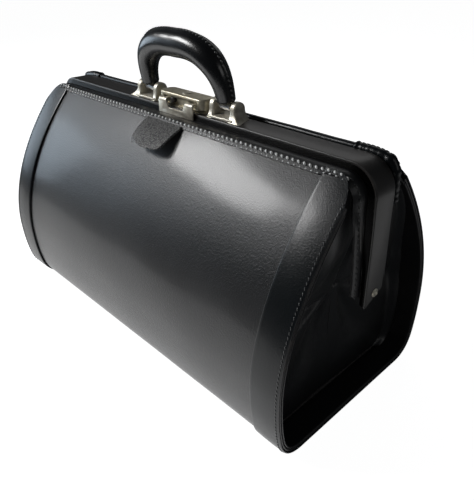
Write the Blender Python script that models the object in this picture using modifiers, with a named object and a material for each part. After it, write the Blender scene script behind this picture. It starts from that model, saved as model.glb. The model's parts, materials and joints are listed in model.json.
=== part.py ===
"""Doctor bag: leather barrel body, two pivoting steel mouth frames, sliding lock and folding handle.

Frame: origin on the ground at the centre of the base, +X along the bag's length, +Y to the back, +Z up.
All sizes are in metres. The piece that lies further out keeps a small gap to the one inside it.
"""

import math

import bmesh
import bpy
from mathutils import Matrix, Vector
from mathutils.geometry import interpolate_bezier

# ---- driving dimensions -------------------------------------------------------------------------

GAP = 0.0003  # between pieces that touch
LENGTH = 0.420  # leather body, rim to rim
BAND_WIDTH = 0.030  # side band along the bag's length

# Half of the body's cross-section, rim to base: depth (Y) and height (Z)
MOUTH = Vector((0.0235, 0.2205))
MOUTH_HANDLE = Vector((0.0725, 0.1706))
BULGE_HANDLE = Vector((0.1007, 0.1150))
BULGE = Vector((0.1007, 0.0650))
LOWER_HANDLE = Vector((0.1007, 0.0430))
KNEE_HANDLE = Vector((0.0990, 0.0330))
KNEE = Vector((0.0968, 0.0220))
FOOT_HANDLE = Vector((0.0930, 0.0060))
FOOT_NEAR = Vector((0.0830, 0.0))
FOOT = Vector((0.0700, 0.0))
SECTION_MIDDLE = Vector((0.0, 0.090))

# Leather layers, as depths below the outer surface of the rim
BAND_SKIN = (0.0, 0.0015)
PANEL_SKIN = (0.0018, 0.0040)
FACING_SKIN = (0.0043, 0.0058)
LINING_SKIN = (0.0043, 0.0051)
LINING_TOP = 0.2135
BOARD_DEPTH = 0.0055
BOARD_THICKNESS = 0.0030
BOARD_HALF = (0.178, 0.066)
FACING_WIDTH = 0.022

# Mouth frames: two U-shaped steel strips on one pivot line
PIVOT_Z = 0.119
BACK_HALF = 0.2165  # outer face of the leg
BACK_TOP = 0.2245
BACK_RADIUS = 0.024
BACK_STEEL = 0.0030
BACK_Y = (-0.012, 0.012)
FLANGE_DEPTH = 0.0060  # the back frame's front lip, from its outer face inwards
FLANGE_STEEL = 0.0015
FRONT_HALF = BACK_HALF - FLANGE_DEPTH - 0.0005
FRONT_TOP = BACK_TOP - FLANGE_DEPTH - 0.0005
FRONT_STEEL = 0.0025
FRONT_Y = (-0.0200, 0.0080)
LEG_END = 0.107
LEG_END_SLANT = math.radians(25)
LEG_TRIM_Z = 0.1145  # height of the slanted cut at the pivot line

# Rounded top corners of the leather, in X and Z
CORNER = (0.191, 0.2032)
CORNER_RADIUS = 0.0170

MOUTH_CORNER_REACH = 0.25  # how far the corner cutters run past the bag

RIVET_HEAD = 0.0034
RIVET_SHANK = 0.0020
RIVET_WASHER = 0.0045

# Soft end walls
GUSSET_LOW = 0.0075
GUSSET_HIGH = 0.2100
GUSSET_SET_BACK = 0.0245  # behind the rim, at the base
GUSSET_COMES_OUT = 0.0145  # nearer to the rim at the mouth
GUSSET_DISH = 0.0070
GUSSET_THICKNESS = 0.0018

# Inner pocket
POCKET_HALF = 0.110
POCKET_Z = (0.034, 0.104)
POCKET_THICKNESS = 0.0022

# Handle and its brackets
HANDLE_HALF = 0.0540  # bracket centre
HANDLE_LEAN = math.radians(9.4)  # at rest the handle leans forward
PIN_Z = 0.2345
PIN_RADIUS = 0.0020
EAR_GAP = 0.0215
EAR_THICKNESS = 0.0048
EAR_FLARE = 0.0075  # the outer ear's foot spreads this far
EAR_TOP_RADIUS = 0.0062
BASE_THICKNESS = 0.0014
GRIP_LOW = 0.2375  # the arch starts to bend here
GRIP_Z = 0.2818
GRIP_RADIUS = 0.0118
GRIP_FOOT_RADIUS = 0.0090
CORE_RADIUS = 0.0059
EYE_RADIUS = 0.0067
GRIP_FOOT = 0.0075  # leather starts this far above the pin
BASE_DEPTH = 0.0088
SCREW_HOLE = 0.0014
SCREW_SHANK = 0.0010
SCREW_HEAD = (0.0021, 0.0008)  # radius and height
SCREW_DEPTH = 0.0021
SCREW_SPACING = 0.0065  # from the bracket's centre

# Rolled leather trims
BINDING_RADIUS = 0.0022
BINDING_Y = (-0.0228, -0.0150)  # at the mouth and at the leg ends
BINDING_Z = 0.2232
BINDING_HALF = 0.2110
BINDING_BEND = 0.020
WELT_RADIUS = 0.0031
WELT_Y = 0.0166
WELT_Z = 0.2238
WELT_REACH = 0.176
WRAP_HALF = 0.2120
WRAP_BEND = 0.022
WRAP_RADIUS = 0.0036
WRAP_LOW = 0.190
PIPING_RADIUS = 0.0017

# Lock
CASE_HALF = 0.0320
CASE_DEPTH = 0.0180
CASE_FLOOR = BACK_TOP + GAP
CASE_TOP = 0.2370
CASE_WALL = 0.0012
HASP_Y = -0.0140
HASP_HALF = 0.0240
HASP_TOP = 0.2318
HASP_STEEL = 0.0014
HASP_FOOT_Y = FRONT_Y[0] - 0.0002
CLAW_X = 0.0185
CLAW_HALF = 0.0040
CLAW_TIP_Y = -0.0074
CLAW_Z = (0.2276, 0.2292)
CLAW_ROOM = 0.0008  # slot wider than the claw on each side
KEY_RADIUS = 0.0042
KEY_FLOOR = 0.2292
LOCK_SCREW_X = 0.0272
COIL_TURNS = 5
COIL_RADIUS = 0.0014
COIL_WIRE = 0.00025

# Pull tab under the hasp
TAB_ROOT = Vector((0.0, -0.0315, 0.2160))
TAB_ROOT_HALF = 0.0245
TAB_TIP_HALF = 0.0200
TAB_LENGTH = 0.0300
TAB_CORNER = 0.0060
TAB_THICKNESS = 0.0020
TAB_LEAN = math.radians(-61)


# ---- helpers ------------------------------------------------------------------------------------


def clear_scene():
    for item in list(bpy.data.objects):
        bpy.data.objects.remove(item)


def collection(name):
    made = bpy.data.collections.new(name)
    bpy.context.scene.collection.children.link(made)
    return made


clear_scene()
BAG = collection("doctor_bag")
CUTTERS = collection("cutters")


def material(name, colour, roughness, metallic=0.0):
    made = bpy.data.materials.new(name)
    made.use_nodes = True
    shader = made.node_tree.nodes["Principled BSDF"]
    shader.inputs["Base Color"].default_value = (*colour, 1.0)
    shader.inputs["Roughness"].default_value = roughness
    shader.inputs["Metallic"].default_value = metallic
    return made


LEATHER = material("black_leather", (0.012, 0.012, 0.014), 0.32)
FABRIC = material("lining_fabric", (0.05, 0.045, 0.045), 0.85)
BOARD = material("base_board_card", (0.06, 0.05, 0.045), 0.8)
PAINTED = material("frame_enamel", (0.015, 0.012, 0.012), 0.3, 0.2)
NICKEL = material("satin_nickel", (0.62, 0.59, 0.54), 0.35, 1.0)
STEEL = material("spring_steel", (0.5, 0.5, 0.5), 0.3, 1.0)


def dress(obj, finish):
    """Gives the object its material, in the bag's collection."""
    obj.data.materials.clear()
    obj.data.materials.append(finish)
    for home in list(obj.users_collection):
        home.objects.unlink(obj)
    BAG.objects.link(obj)
    return obj


def as_cutter(obj):
    for home in list(obj.users_collection):
        home.objects.unlink(obj)
    CUTTERS.objects.link(obj)
    obj.hide_render = True
    obj.display_type = "WIRE"
    return obj


def to_mesh(obj):
    """Replaces a curve object by its welded mesh, in place."""
    bpy.context.view_layer.update()
    graph = bpy.context.evaluated_depsgraph_get()
    mesh = bpy.data.meshes.new_from_object(obj.evaluated_get(graph))
    build = bmesh.new()
    build.from_mesh(mesh)
    bmesh.ops.remove_doubles(build, verts=build.verts, dist=1e-6)
    bmesh.ops.recalc_face_normals(build, faces=build.faces)
    build.to_mesh(mesh)
    build.free()
    name = obj.name
    made = bpy.data.objects.new(name + "_mesh", mesh)
    made.matrix_world = obj.matrix_world
    bpy.context.scene.collection.objects.link(made)
    bpy.data.objects.remove(obj)
    made.name = name
    return made


# Local axes of a flat outline: (x, y, z) of the outline in world directions
PLANES = {
    "XY": Matrix.Identity(4),
    "YZ": Matrix(((0, 0, 1, 0), (1, 0, 0, 0), (0, 1, 0, 0), (0, 0, 0, 1))),
    "XZ": Matrix(((1, 0, 0, 0), (0, 0, -1, 0), (0, 1, 0, 0), (0, 0, 0, 1))),
}


def plate(name, outline, plane, low, high):
    """A flat outline made thick from low to high along the plane's normal (X, Y or Z)."""
    curve = bpy.data.curves.new(name, "CURVE")
    curve.dimensions = "2D"
    curve.fill_mode = "BOTH"
    curve.extrude = (high - low) / 2
    spline = curve.splines.new("POLY")
    spline.points.add(len(outline) - 1)
    for point, place in zip(spline.points, outline):
        point.co = (place[0], place[1], 0, 1)
    spline.use_cyclic_u = True
    obj = bpy.data.objects.new(name, curve)
    bpy.context.scene.collection.objects.link(obj)
    middle = (low + high) / 2
    shift = {"XY": (0, 0, middle), "YZ": (middle, 0, 0), "XZ": (0, middle, 0)}[plane]
    obj.matrix_world = Matrix.Translation(shift) @ PLANES[plane]
    return to_mesh(obj)


def block(name, low, high):
    """A box between two corners."""
    bpy.ops.mesh.primitive_cube_add(size=1)
    obj = bpy.context.object
    obj.name = name
    low, high = Vector(low), Vector(high)
    obj.data.transform(Matrix.Diagonal((*(high - low), 1)))
    obj.location = (low + high) / 2
    return obj


def rod(name, start, end, radius, sides=16):
    """A cylinder between two points."""
    start, end = Vector(start), Vector(end)
    bpy.ops.mesh.primitive_cylinder_add(vertices=sides, radius=radius, depth=(end - start).length)
    obj = bpy.context.object
    obj.name = name
    obj.rotation_mode = "QUATERNION"
    obj.rotation_quaternion = Vector((0, 0, 1)).rotation_difference(end - start)
    obj.location = (start + end) / 2
    return obj


def tube(name, points, radius, sides=2, swells=None):
    """A round tube along points; swells are the shares of the radius at each point."""
    curve = bpy.data.curves.new(name, "CURVE")
    curve.dimensions = "3D"
    curve.bevel_depth = radius
    curve.bevel_resolution = sides
    curve.use_fill_caps = True
    spline = curve.splines.new("POLY")
    spline.points.add(len(points) - 1)
    for i, (point, place) in enumerate(zip(spline.points, points)):
        point.co = (*place, 1)
        point.radius = swells[i] if swells else 1.0
    obj = bpy.data.objects.new(name, curve)
    bpy.context.scene.collection.objects.link(obj)
    return to_mesh(obj)


def combine(obj, other, operation):
    modifier = obj.modifiers.new(f"{operation}_{other.name}", "BOOLEAN")
    modifier.operation = operation
    modifier.object = as_cutter(other)
    return obj


def cut(obj, *others):
    for other in others:
        combine(obj, other, "DIFFERENCE")
    return obj


def join(obj, *others):
    for other in others:
        combine(obj, other, "UNION")
    return obj


def bevel(obj, width, segments=2):
    modifier = obj.modifiers.new("edge", "BEVEL")
    modifier.width = width
    modifier.segments = segments
    modifier.limit_method = "ANGLE"
    modifier.angle_limit = math.radians(50)
    return obj


def turned(name, profile, steps=16):
    """A turned solid: profile is (radius, height) from the top down the outer side, on the Z axis."""
    mesh = bpy.data.meshes.new(name)
    build = bmesh.new()
    verts = [build.verts.new((r, 0, z)) for r, z in profile]
    for a, b in zip(verts, verts[1:]):
        build.edges.new((a, b))
    bmesh.ops.spin(
        build,
        geom=build.verts[:] + build.edges[:],
        axis=(0, 0, 1),
        cent=(0, 0, 0),
        angle=math.tau,
        steps=steps,
        use_merge=True,
    )
    bmesh.ops.remove_doubles(build, verts=build.verts, dist=1e-6)
    bmesh.ops.recalc_face_normals(build, faces=build.faces)
    build.to_mesh(mesh)
    build.free()
    obj = bpy.data.objects.new(name, mesh)
    bpy.context.scene.collection.objects.link(obj)
    return obj


def arc(centre, radius, start, end, steps):
    """Points of an arc in a plane, from angle start to end in degrees."""
    angles = [math.radians(start + (end - start) * i / steps) for i in range(steps + 1)]
    return [(centre[0] + radius * math.cos(a), centre[1] + radius * math.sin(a)) for a in angles]


# ---- cross-section of the leather body ----------------------------------------------------------


def half_section():
    """Outer surface from the mouth down to the flat of the base, on the +Y side."""
    upper = interpolate_bezier(MOUTH, MOUTH_HANDLE, BULGE_HANDLE, BULGE, 14)
    side = interpolate_bezier(BULGE, LOWER_HANDLE, KNEE_HANDLE, KNEE, 4)
    corner = interpolate_bezier(KNEE, FOOT_HANDLE, FOOT_NEAR, FOOT, 7)
    return [Vector(p[:2]) for p in upper + side[1:] + corner[1:]]


def wrap_section():
    """Outer surface all the way round, from the back mouth edge under the base to the front one."""
    back = half_section()
    return back + [Vector((-p.x, p.y)) for p in reversed(back)]


def inset(points, depth):
    """The section moved inwards by depth."""
    moved = []
    for i, point in enumerate(points):
        before = points[max(i - 1, 0)]
        after = points[min(i + 1, len(points) - 1)]
        along = (after - before).normalized()
        across = Vector((along.y, -along.x))
        outward = across if across.dot(point - SECTION_MIDDLE) > 0 else -across
        moved.append(point - outward * depth)
    return moved


def layer(skin):
    """Closed outline of one leather layer between two depths."""
    section = wrap_section()
    return inset(section, skin[0]) + inset(section, skin[1])[::-1]


def inner_half_width(z, depth):
    """Half of the clear width inside the body at a height, at a depth below the outer surface."""
    section = inset(half_section(), depth)
    for high, low in zip(section, section[1:]):
        if low.y <= z <= high.y and high.y > low.y:
            share = (z - low.y) / (high.y - low.y)
            return low.x + (high.x - low.x) * share
    return section[-1].x if z < section[-1].y else section[0].x


# ---- leather body -------------------------------------------------------------------------------


def mouth_corner(side):
    """Cutter that rounds the leather's top corner to the bend of the frames."""
    bend = arc(CORNER, CORNER_RADIUS, 0, 90, 8)
    past = MOUTH_CORNER_REACH
    outline = [(past, CORNER[1])] + bend + [(CORNER[0], past), (past, past)]
    return plate("mouth_corner", [(side * x, z) for x, z in outline], "XZ", -0.06, 0.06)


def make_body():
    half = LENGTH / 2
    corners = [mouth_corner(-1), mouth_corner(1)]
    above_lining = block("above_lining", (-0.3, -0.06, LINING_TOP), (0.3, 0.06, 0.25))
    panel = plate("body_panel", layer(PANEL_SKIN), "YZ", -half + 0.0005, half - 0.0005)
    dress(cut(panel, *corners), LEATHER)
    for side, name in ((-1, "left"), (1, "right")):
        corner = corners[side > 0]
        ends = sorted((side * half, side * (half - BAND_WIDTH)))
        dress(cut(plate(f"side_band_{name}", layer(BAND_SKIN), "YZ", *ends), corner), LEATHER)
        ends = sorted((side * (half - 0.0005), side * (half - FACING_WIDTH)))
        facing = plate(f"rim_facing_{name}", layer(FACING_SKIN), "YZ", *ends)
        dress(cut(facing, corner, above_lining), LEATHER)
    reach = half - FACING_WIDTH - 0.003
    dress(cut(plate("lining", layer(LINING_SKIN), "YZ", -reach, reach), above_lining), FABRIC)
    long, deep = BOARD_HALF
    board = block("base_board", (-long, -deep, BOARD_DEPTH), (long, deep, BOARD_DEPTH + BOARD_THICKNESS))
    dress(bevel(board, 0.001), BOARD)


def make_gusset(side, name):
    """A soft end wall, set back from the rim and dished towards the bag's inside."""
    columns, rows = 12, 16
    build = bmesh.new()
    bmesh.ops.create_grid(build, x_segments=columns, y_segments=rows, size=0.5)
    for vert in build.verts:
        across = vert.co.x * 2
        share = vert.co.y + 0.5
        z = GUSSET_LOW + (GUSSET_HIGH - GUSSET_LOW) * share
        width = inner_half_width(z, FACING_SKIN[1] + 2 * GAP) - GAP
        upper_share = max(0.0, share - 0.45) / 0.55
        set_back = GUSSET_SET_BACK - GUSSET_COMES_OUT * upper_share
        dish = GUSSET_DISH * (1 - across**2) * math.sin(math.pi * share)
        vert.co = (side * (LENGTH / 2 - set_back - dish), across * width, z)
    bmesh.ops.recalc_face_normals(build, faces=build.faces)
    mesh = bpy.data.meshes.new(f"gusset_{name}")
    build.to_mesh(mesh)
    build.free()
    mesh.shade_smooth()
    obj = bpy.data.objects.new(f"gusset_{name}", mesh)
    bpy.context.scene.collection.objects.link(obj)
    wall = obj.modifiers.new("thickness", "SOLIDIFY")
    wall.thickness = GUSSET_THICKNESS
    wall.offset = 0
    dress(obj, LEATHER)


def make_pocket():
    """Flat slip pocket on the inside of the back wall, below the pivots."""
    steps = 6
    low, high = POCKET_Z
    outer = []
    for i in range(steps + 1):
        z = low + (high - low) * i / steps
        outer.append((inner_half_width(z, LINING_SKIN[1]) - GAP * 2, z))
    inner = [(y - POCKET_THICKNESS, z) for y, z in outer]
    dress(plate("inner_pocket", outer + inner[::-1], "YZ", -POCKET_HALF, POCKET_HALF), FABRIC)


def make_pivot_rivet(side, name):
    """Domed rivet through both frame legs, with a spacer between them and its washer on the inside."""
    shank_end = side * (FRONT_HALF - FRONT_STEEL - 0.0021)
    between = (side * (FRONT_HALF + GAP), side * (BACK_HALF - BACK_STEEL - GAP))
    head_base = side * (BACK_HALF + GAP)
    inside_head = (head_base + side * 0.0008, 0, PIVOT_Z)
    shank = rod(f"pivot_rivet_{name}", (shank_end, 0, PIVOT_Z), inside_head, RIVET_SHANK)
    dome = [(0.0, 0.0018), (0.0018, 0.0015), (0.0029, 0.0008), (RIVET_HEAD, 0.0), (0.0, 0.0)]
    head = turned(f"rivet_head_{name}", dome)
    head.matrix_world = Matrix.Translation((head_base, 0, PIVOT_Z)) @ Matrix.Rotation(
        math.radians(90 * side), 4, "Y"
    )
    washer = rod(
        f"rivet_washer_{name}",
        (shank_end - side * 0.0005, 0, PIVOT_Z),
        (shank_end + side * 0.0015, 0, PIVOT_Z),
        RIVET_WASHER,
    )
    spacer = rod(
        f"rivet_spacer_{name}",
        (between[0], 0, PIVOT_Z),
        (between[1], 0, PIVOT_Z),
        RIVET_WASHER,
    )
    dress(join(shank, head, washer, spacer), NICKEL)


# ---- mouth frames -------------------------------------------------------------------------------


def u_outline(half, top, radius, thickness, bottom):
    """Outline in X and Z of an upside-down U strip."""
    outer = arc((half - radius, top - radius), radius, 0, 90, 8)
    inner = arc((half - radius, top - radius), radius - thickness, 0, 90, 8)
    right = [(half, bottom)] + outer
    left = [(-x, z) for x, z in reversed(right)]
    inner_right = [(half - thickness, bottom)] + inner
    inner_left = [(-x, z) for x, z in reversed(inner_right)]
    return right + left + inner_left[::-1] + inner_right[::-1]


def below_leg(name):
    """Cutter that trims the leg ends along a slanted line."""
    obj = block(name, (-0.3, -0.06, -0.06), (0.3, 0.06, 0.0))
    slanted = Matrix.Translation((0, 0, LEG_TRIM_Z)) @ Matrix.Rotation(LEG_END_SLANT, 4, "X")
    obj.matrix_world = slanted @ Matrix.Translation((0, 0, -0.03))
    return obj


def before_leg(name):
    """Cutter in front of the front legs, which taper from the mouth down to the pivots."""
    outline = [(-0.06, 0.09), (-0.0055, 0.09), (-0.0060, 0.110), (-0.0198, 0.2000), (-0.06, 0.2000)]
    return plate(name, outline, "YZ", -0.3, 0.3)


def pivot_hole(name):
    return rod(name, (-0.3, 0, PIVOT_Z), (0.3, 0, PIVOT_Z), RIVET_SHANK + GAP, 16)


def make_frames():
    outline = u_outline(BACK_HALF, BACK_TOP, BACK_RADIUS, BACK_STEEL, LEG_END - 0.01)
    back = plate("back_frame_strip", outline, "XZ", *BACK_Y)
    outline = u_outline(BACK_HALF, BACK_TOP, BACK_RADIUS, FLANGE_DEPTH, LEG_END - 0.01)
    join(back, plate("back_flange", outline, "XZ", BACK_Y[0], BACK_Y[0] + FLANGE_STEEL))
    cut(back, below_leg("back_leg_trim"), pivot_hole("back_pivot_hole"))
    dress(back, PAINTED)
    radius = BACK_RADIUS - (BACK_HALF - FRONT_HALF)
    outline = u_outline(FRONT_HALF, FRONT_TOP, radius, FRONT_STEEL, LEG_END)
    front = plate("front_frame_rail", outline, "XZ", *FRONT_Y)
    cut(front, before_leg("front_leg_taper"), below_leg("front_leg_trim"), pivot_hole("front_pivot_hole"))
    dress(front, PAINTED)


def mouth_path(y, z, half, radius, leg_y, leg_z):
    """Centreline of a trim that runs along the mouth and down both legs."""
    corner = arc((half - radius, z - radius), radius, 0, 90, 6)
    right = [(half, leg_y, leg_z)]
    right += [(x, y, height) for x, height in corner]
    left = [(-x, y, height) for x, y, height in reversed(right)]
    return right + left


def make_trims():
    """Rolled leather edges: the front binding, the back welt with its corner wraps, the leg piping."""
    binding = mouth_path(BINDING_Y[0], BINDING_Z, BINDING_HALF, BINDING_BEND, BINDING_Y[1], 0.135)
    dress(tube("front_binding", binding, BINDING_RADIUS), LEATHER)
    welt = [(-WELT_REACH, WELT_Y, WELT_Z), (WELT_REACH, WELT_Y, WELT_Z)]
    dress(tube("back_welt", welt, WELT_RADIUS), LEATHER)
    for side, name in ((-1, "left"), (1, "right")):
        corner = arc((WRAP_HALF - WRAP_BEND, WELT_Z - WRAP_BEND), WRAP_BEND, 0, 90, 6)
        wrap = [(WRAP_HALF, WELT_Y - 0.0004, WRAP_LOW)] + [(x, WELT_Y, z) for x, z in corner]
        wrap.append((WELT_REACH + 0.0005, WELT_Y, WELT_Z))
        dress(tube(f"corner_wrap_{name}", [(side * x, y, z) for x, y, z in wrap], WRAP_RADIUS), LEATHER)
        piping = [(side * 0.2125, 0.0148, 0.189), (side * 0.2140, 0.0145, 0.130)]
        dress(tube(f"back_piping_{name}", piping, PIPING_RADIUS), LEATHER)


# ---- handle -------------------------------------------------------------------------------------


def handle_path(low):
    """Centreline of the arched handle, from one foot over the grip to the other, leaning forward."""
    foot = Vector((HANDLE_HALF, 0, low))
    start = Vector((HANDLE_HALF, 0, GRIP_LOW))
    rise = start + Vector((0.0020, 0, 0.0486))
    over = Vector((0.0109, 0, GRIP_Z))
    bend = interpolate_bezier(start, rise, over, Vector((0, 0, GRIP_Z)), 11)
    right = [foot] + [p for p in bend if p.z > low + 0.002]
    path = right + [Vector((-p.x, 0, p.z)) for p in reversed(right[:-1])]
    lean = Matrix.Translation((0, 0, PIN_Z)) @ Matrix.Rotation(HANDLE_LEAN, 4, "X")
    return [tuple(lean @ (p - Vector((0, 0, PIN_Z)))) for p in path]


def grip_swell(share):
    """The grip thickens from its feet to the middle."""
    near_foot = min(share, 1 - share) * 2
    full = min(near_foot / 0.55, 1.0)
    foot = GRIP_FOOT_RADIUS / GRIP_RADIUS
    return foot + (1 - foot) * full * full * (3 - 2 * full)


def make_handle():
    line = handle_path(PIN_Z + GRIP_FOOT)
    swells = [grip_swell(i / (len(line) - 1)) for i in range(len(line))]
    grip = tube("handle_grip", line, GRIP_RADIUS, 3, swells)
    bore = tube("grip_bore", handle_path(PIN_Z - 0.004), CORE_RADIUS + GAP, 2)
    dress(cut(grip, bore), LEATHER)
    core = tube("handle_core", handle_path(PIN_Z), CORE_RADIUS, 2)
    for side, name in ((-1, "left"), (1, "right")):
        centre = side * HANDLE_HALF
        reach = CORE_RADIUS + 0.0011
        eye = rod(f"core_eye_{name}", (centre - reach, 0, PIN_Z), (centre + reach, 0, PIN_Z), EYE_RADIUS, 20)
        join(core, eye)
        hole = rod(f"core_hole_{name}", (centre - 0.02, 0, PIN_Z), (centre + 0.02, 0, PIN_Z), PIN_RADIUS + GAP)
        cut(core, hole)
    dress(core, STEEL)


def ear_outline():
    """Outline in Y and Z of a bracket ear: flared foot, waist and rounded top."""
    floor = CASE_FLOOR
    cap = arc((0, PIN_Z), EAR_TOP_RADIUS, 0, 180, 10)
    right = [(BASE_DEPTH, floor), (BASE_DEPTH, floor + 0.0015), (0.0064, floor + 0.0055)]
    left = [(-y, z) for y, z in reversed(right)]
    return right + cap + left


def make_bracket(side, name):
    """Handle bracket: a base plate with two ears, its hinge pin and two screws."""
    centre = side * HANDLE_HALF
    reach = EAR_GAP / 2 + EAR_THICKNESS
    plate_top = CASE_FLOOR + BASE_THICKNESS
    ends = sorted((centre - side * reach, centre + side * (reach + EAR_FLARE)))
    base = block(f"handle_bracket_{name}", (ends[0], -BASE_DEPTH, CASE_FLOOR), (ends[1], BASE_DEPTH, plate_top))
    flare = [(reach - 0.002, plate_top - 0.0005), (reach + EAR_FLARE, plate_top - 0.0005)]
    flare += [(reach + 0.0025, plate_top + 0.0030), (reach, PIN_Z - 0.0020), (reach - 0.002, PIN_Z - 0.0020)]
    outline = [(centre + side * x, z) for x, z in flare]
    join(base, plate(f"ear_flare_{name}", outline, "XZ", -0.0055, 0.0055))
    for end in (-1, 1):
        low, high = sorted((centre + end * EAR_GAP / 2, centre + end * reach))
        join(base, plate(f"ear_{name}_{end}", ear_outline(), "YZ", low, high))
    hole = rod(
        f"pin_hole_{name}",
        (centre - 0.03, 0, PIN_Z),
        (centre + 0.03, 0, PIN_Z),
        PIN_RADIUS + GAP,
    )
    cut(base, hole)
    for end in (-1, 1):
        spot = centre + end * SCREW_SPACING
        screw_hole = rod(f"screw_hole_{name}_{end}", (spot, 0, 0.22), (spot, 0, 0.24), SCREW_HOLE, 12)
        cut(base, screw_hole)
        cut(bpy.data.objects["back_frame_strip"], thread_hole(f"{name}_{end}", spot))
        make_screw(f"bracket_screw_{name}_{'inner' if side * end < 0 else 'outer'}", spot, plate_top)
    dress(base, NICKEL)
    pin = rod(
        f"handle_pin_{name}",
        (centre - reach - 0.0006, 0, PIN_Z),
        (centre + reach + 0.0006, 0, PIN_Z),
        PIN_RADIUS,
    )
    dress(pin, NICKEL)


def thread_hole(name, x):
    """Blind hole for a screw in the back frame's strip."""
    bottom = BACK_TOP - SCREW_DEPTH - GAP
    return rod(f"thread_{name}", (x, 0, bottom), (x, 0, BACK_TOP + 0.002), SCREW_SHANK + GAP, 12)


def make_screw(name, x, seat):
    """Low cheese-head screw standing on its seat."""
    radius, height = SCREW_HEAD
    shank = rod(name, (x, 0, BACK_TOP - SCREW_DEPTH), (x, 0, seat + GAP + 0.0002), SCREW_SHANK, 12)
    head = rod(f"{name}_head", (x, 0, seat + GAP), (x, 0, seat + GAP + height), radius, 12)
    dress(join(shank, head), STEEL)


# ---- lock ---------------------------------------------------------------------------------------


def capsule(half, depth, steps=6):
    """Outline in X and Y of a long shape with rounded ends."""
    radius = depth / 2 * 0.62
    points = []
    for sx, sy, start in ((1, 1, 0), (-1, 1, 90), (-1, -1, 180), (1, -1, 270)):
        centre = (sx * (half - radius), sy * (depth / 2 - radius))
        points += arc(centre, radius, start, start + 90, steps)
    return points


def make_case(floor):
    """Hollow lock case, open to the front for the slide button and the claws, and above for the key."""
    case = bevel(plate("lock_case", capsule(CASE_HALF, CASE_DEPTH), "XY", floor + GAP, CASE_TOP), 0.0016, 3)
    inside = capsule(CASE_HALF - CASE_WALL, CASE_DEPTH - 2 * CASE_WALL)
    openings = [
        plate("case_hollow", inside, "XY", floor - 0.001, CASE_TOP - CASE_WALL),
        block("knob_slot", (-0.0125, -0.012, 0.2285), (0.0065, -0.006, 0.2335)),
        rod("key_bore", (0.0, 0, 0.231), (0.0, 0, 0.24), KEY_RADIUS + GAP, 20),
    ]
    reach = CLAW_HALF + CLAW_ROOM
    for side in (-1, 1):
        low = (side * CLAW_X - reach, -0.012, CLAW_Z[0] - 0.0014)
        high = (side * CLAW_X + reach, -0.006, CLAW_Z[1] + 0.0018)
        openings.append(block(f"claw_slot_{side}", low, high))
    dress(cut(case, *openings), NICKEL)


def make_lock_base(floor):
    """Plate that closes the case below, screwed to the back frame."""
    base = plate("lock_base", capsule(CASE_HALF, CASE_DEPTH), "XY", CASE_FLOOR, floor)
    for side, name in ((-1, "left"), (1, "right")):
        spot = side * LOCK_SCREW_X
        cut(base, rod(f"base_hole_{name}", (spot, 0, 0.22), (spot, 0, 0.24), SCREW_HOLE, 12))
        cut(bpy.data.objects["back_frame_strip"], thread_hole(f"lock_{name}", spot))
        make_screw(f"lock_screw_{name}", spot, floor)
    dress(base, STEEL)


def make_lock_slide():
    """Bolt with its post, which stays in front of the key cylinder, and the button on it."""
    bolt = block("lock_bolt", (-0.0130, -0.0066, 0.2268), (0.0075, 0.0060, 0.2282))
    cut(bolt, block("bolt_relief", (-0.0056, -0.0046, 0.22), (0.0116, 0.0046, 0.24)))
    join(bolt, block("bolt_post", (-0.0110, -0.0066, 0.2275), (-0.0075, -0.0046, 0.2330)))
    dress(bolt, STEEL)
    knob = block("lock_slide", (-0.0118, -0.0118, 0.2290), (-0.0062, -0.0069, 0.2330))
    dress(bevel(knob, 0.0006), PAINTED)


def make_lock_spring():
    """Coil that pushes the bolt back."""
    steps = 8 * COIL_TURNS
    start = Vector((0.0100, 0.0028, 0.2300))
    coil = []
    for i in range(steps + 1):
        turn = math.tau * i / 8
        across = COIL_RADIUS * math.cos(turn)
        rise = COIL_RADIUS * math.sin(turn)
        coil.append(start + Vector((0.0090 * i / steps, across, rise)))
    dress(tube("lock_spring", coil, COIL_WIRE, 1), STEEL)


def make_lock():
    floor = CASE_FLOOR + 0.0010
    make_case(floor)
    make_lock_base(floor)
    make_lock_slide()
    make_lock_spring()
    cylinder = rod("key_cylinder", (0, 0, KEY_FLOOR), (0, 0, CASE_TOP + 0.0006), KEY_RADIUS, 20)
    cut(cylinder, block("key_slot", (-0.0005, -0.0026, 0.2335), (0.0005, 0.0026, 0.24)))
    dress(cylinder, NICKEL)


def hasp_outline():
    """Outline in X and Z of the hasp: a plate with two upright claws and a rounded gap between them."""
    half, low, high = HASP_HALF, FRONT_TOP + GAP, HASP_TOP
    gap_half, gap_low = 0.0125, 0.2243
    corner = 0.0025
    right = [(half, low), (half, high - 0.0016), (half - 0.0016, high), (gap_half + 0.0012, high)]
    right += arc((gap_half - corner, gap_low + corner), corner, 0, -90, 4)
    return right + [(-x, z) for x, z in reversed(right)]


def make_hasp():
    """Angle plate on the rail, with two claws that reach back into the lock case, and its rivets."""
    foot_top = FRONT_TOP + GAP + HASP_STEEL
    hasp = plate("hasp", hasp_outline(), "XZ", HASP_Y - HASP_STEEL, HASP_Y)
    foot_low = (-HASP_HALF, HASP_FOOT_Y, FRONT_TOP + GAP)
    join(hasp, block("hasp_foot", foot_low, (HASP_HALF, HASP_Y - 0.0004, foot_top)))
    for side in (-1, 1):
        centre = side * CLAW_X
        arm_low = (centre - CLAW_HALF, HASP_Y - 0.0008, CLAW_Z[0])
        join(hasp, block(f"claw_{side}", arm_low, (centre + CLAW_HALF, CLAW_TIP_Y, CLAW_Z[1])))
    dress(hasp, NICKEL)
    for side, name in ((-1, "left"), (1, "right")):
        spot = (side * CLAW_X, FRONT_Y[0] + 0.0022, foot_top + GAP)
        head = rod(f"hasp_rivet_{name}", spot, Vector(spot) + Vector((0, 0, 0.0009)), 0.0015, 12)
        dress(head, NICKEL)


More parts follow.
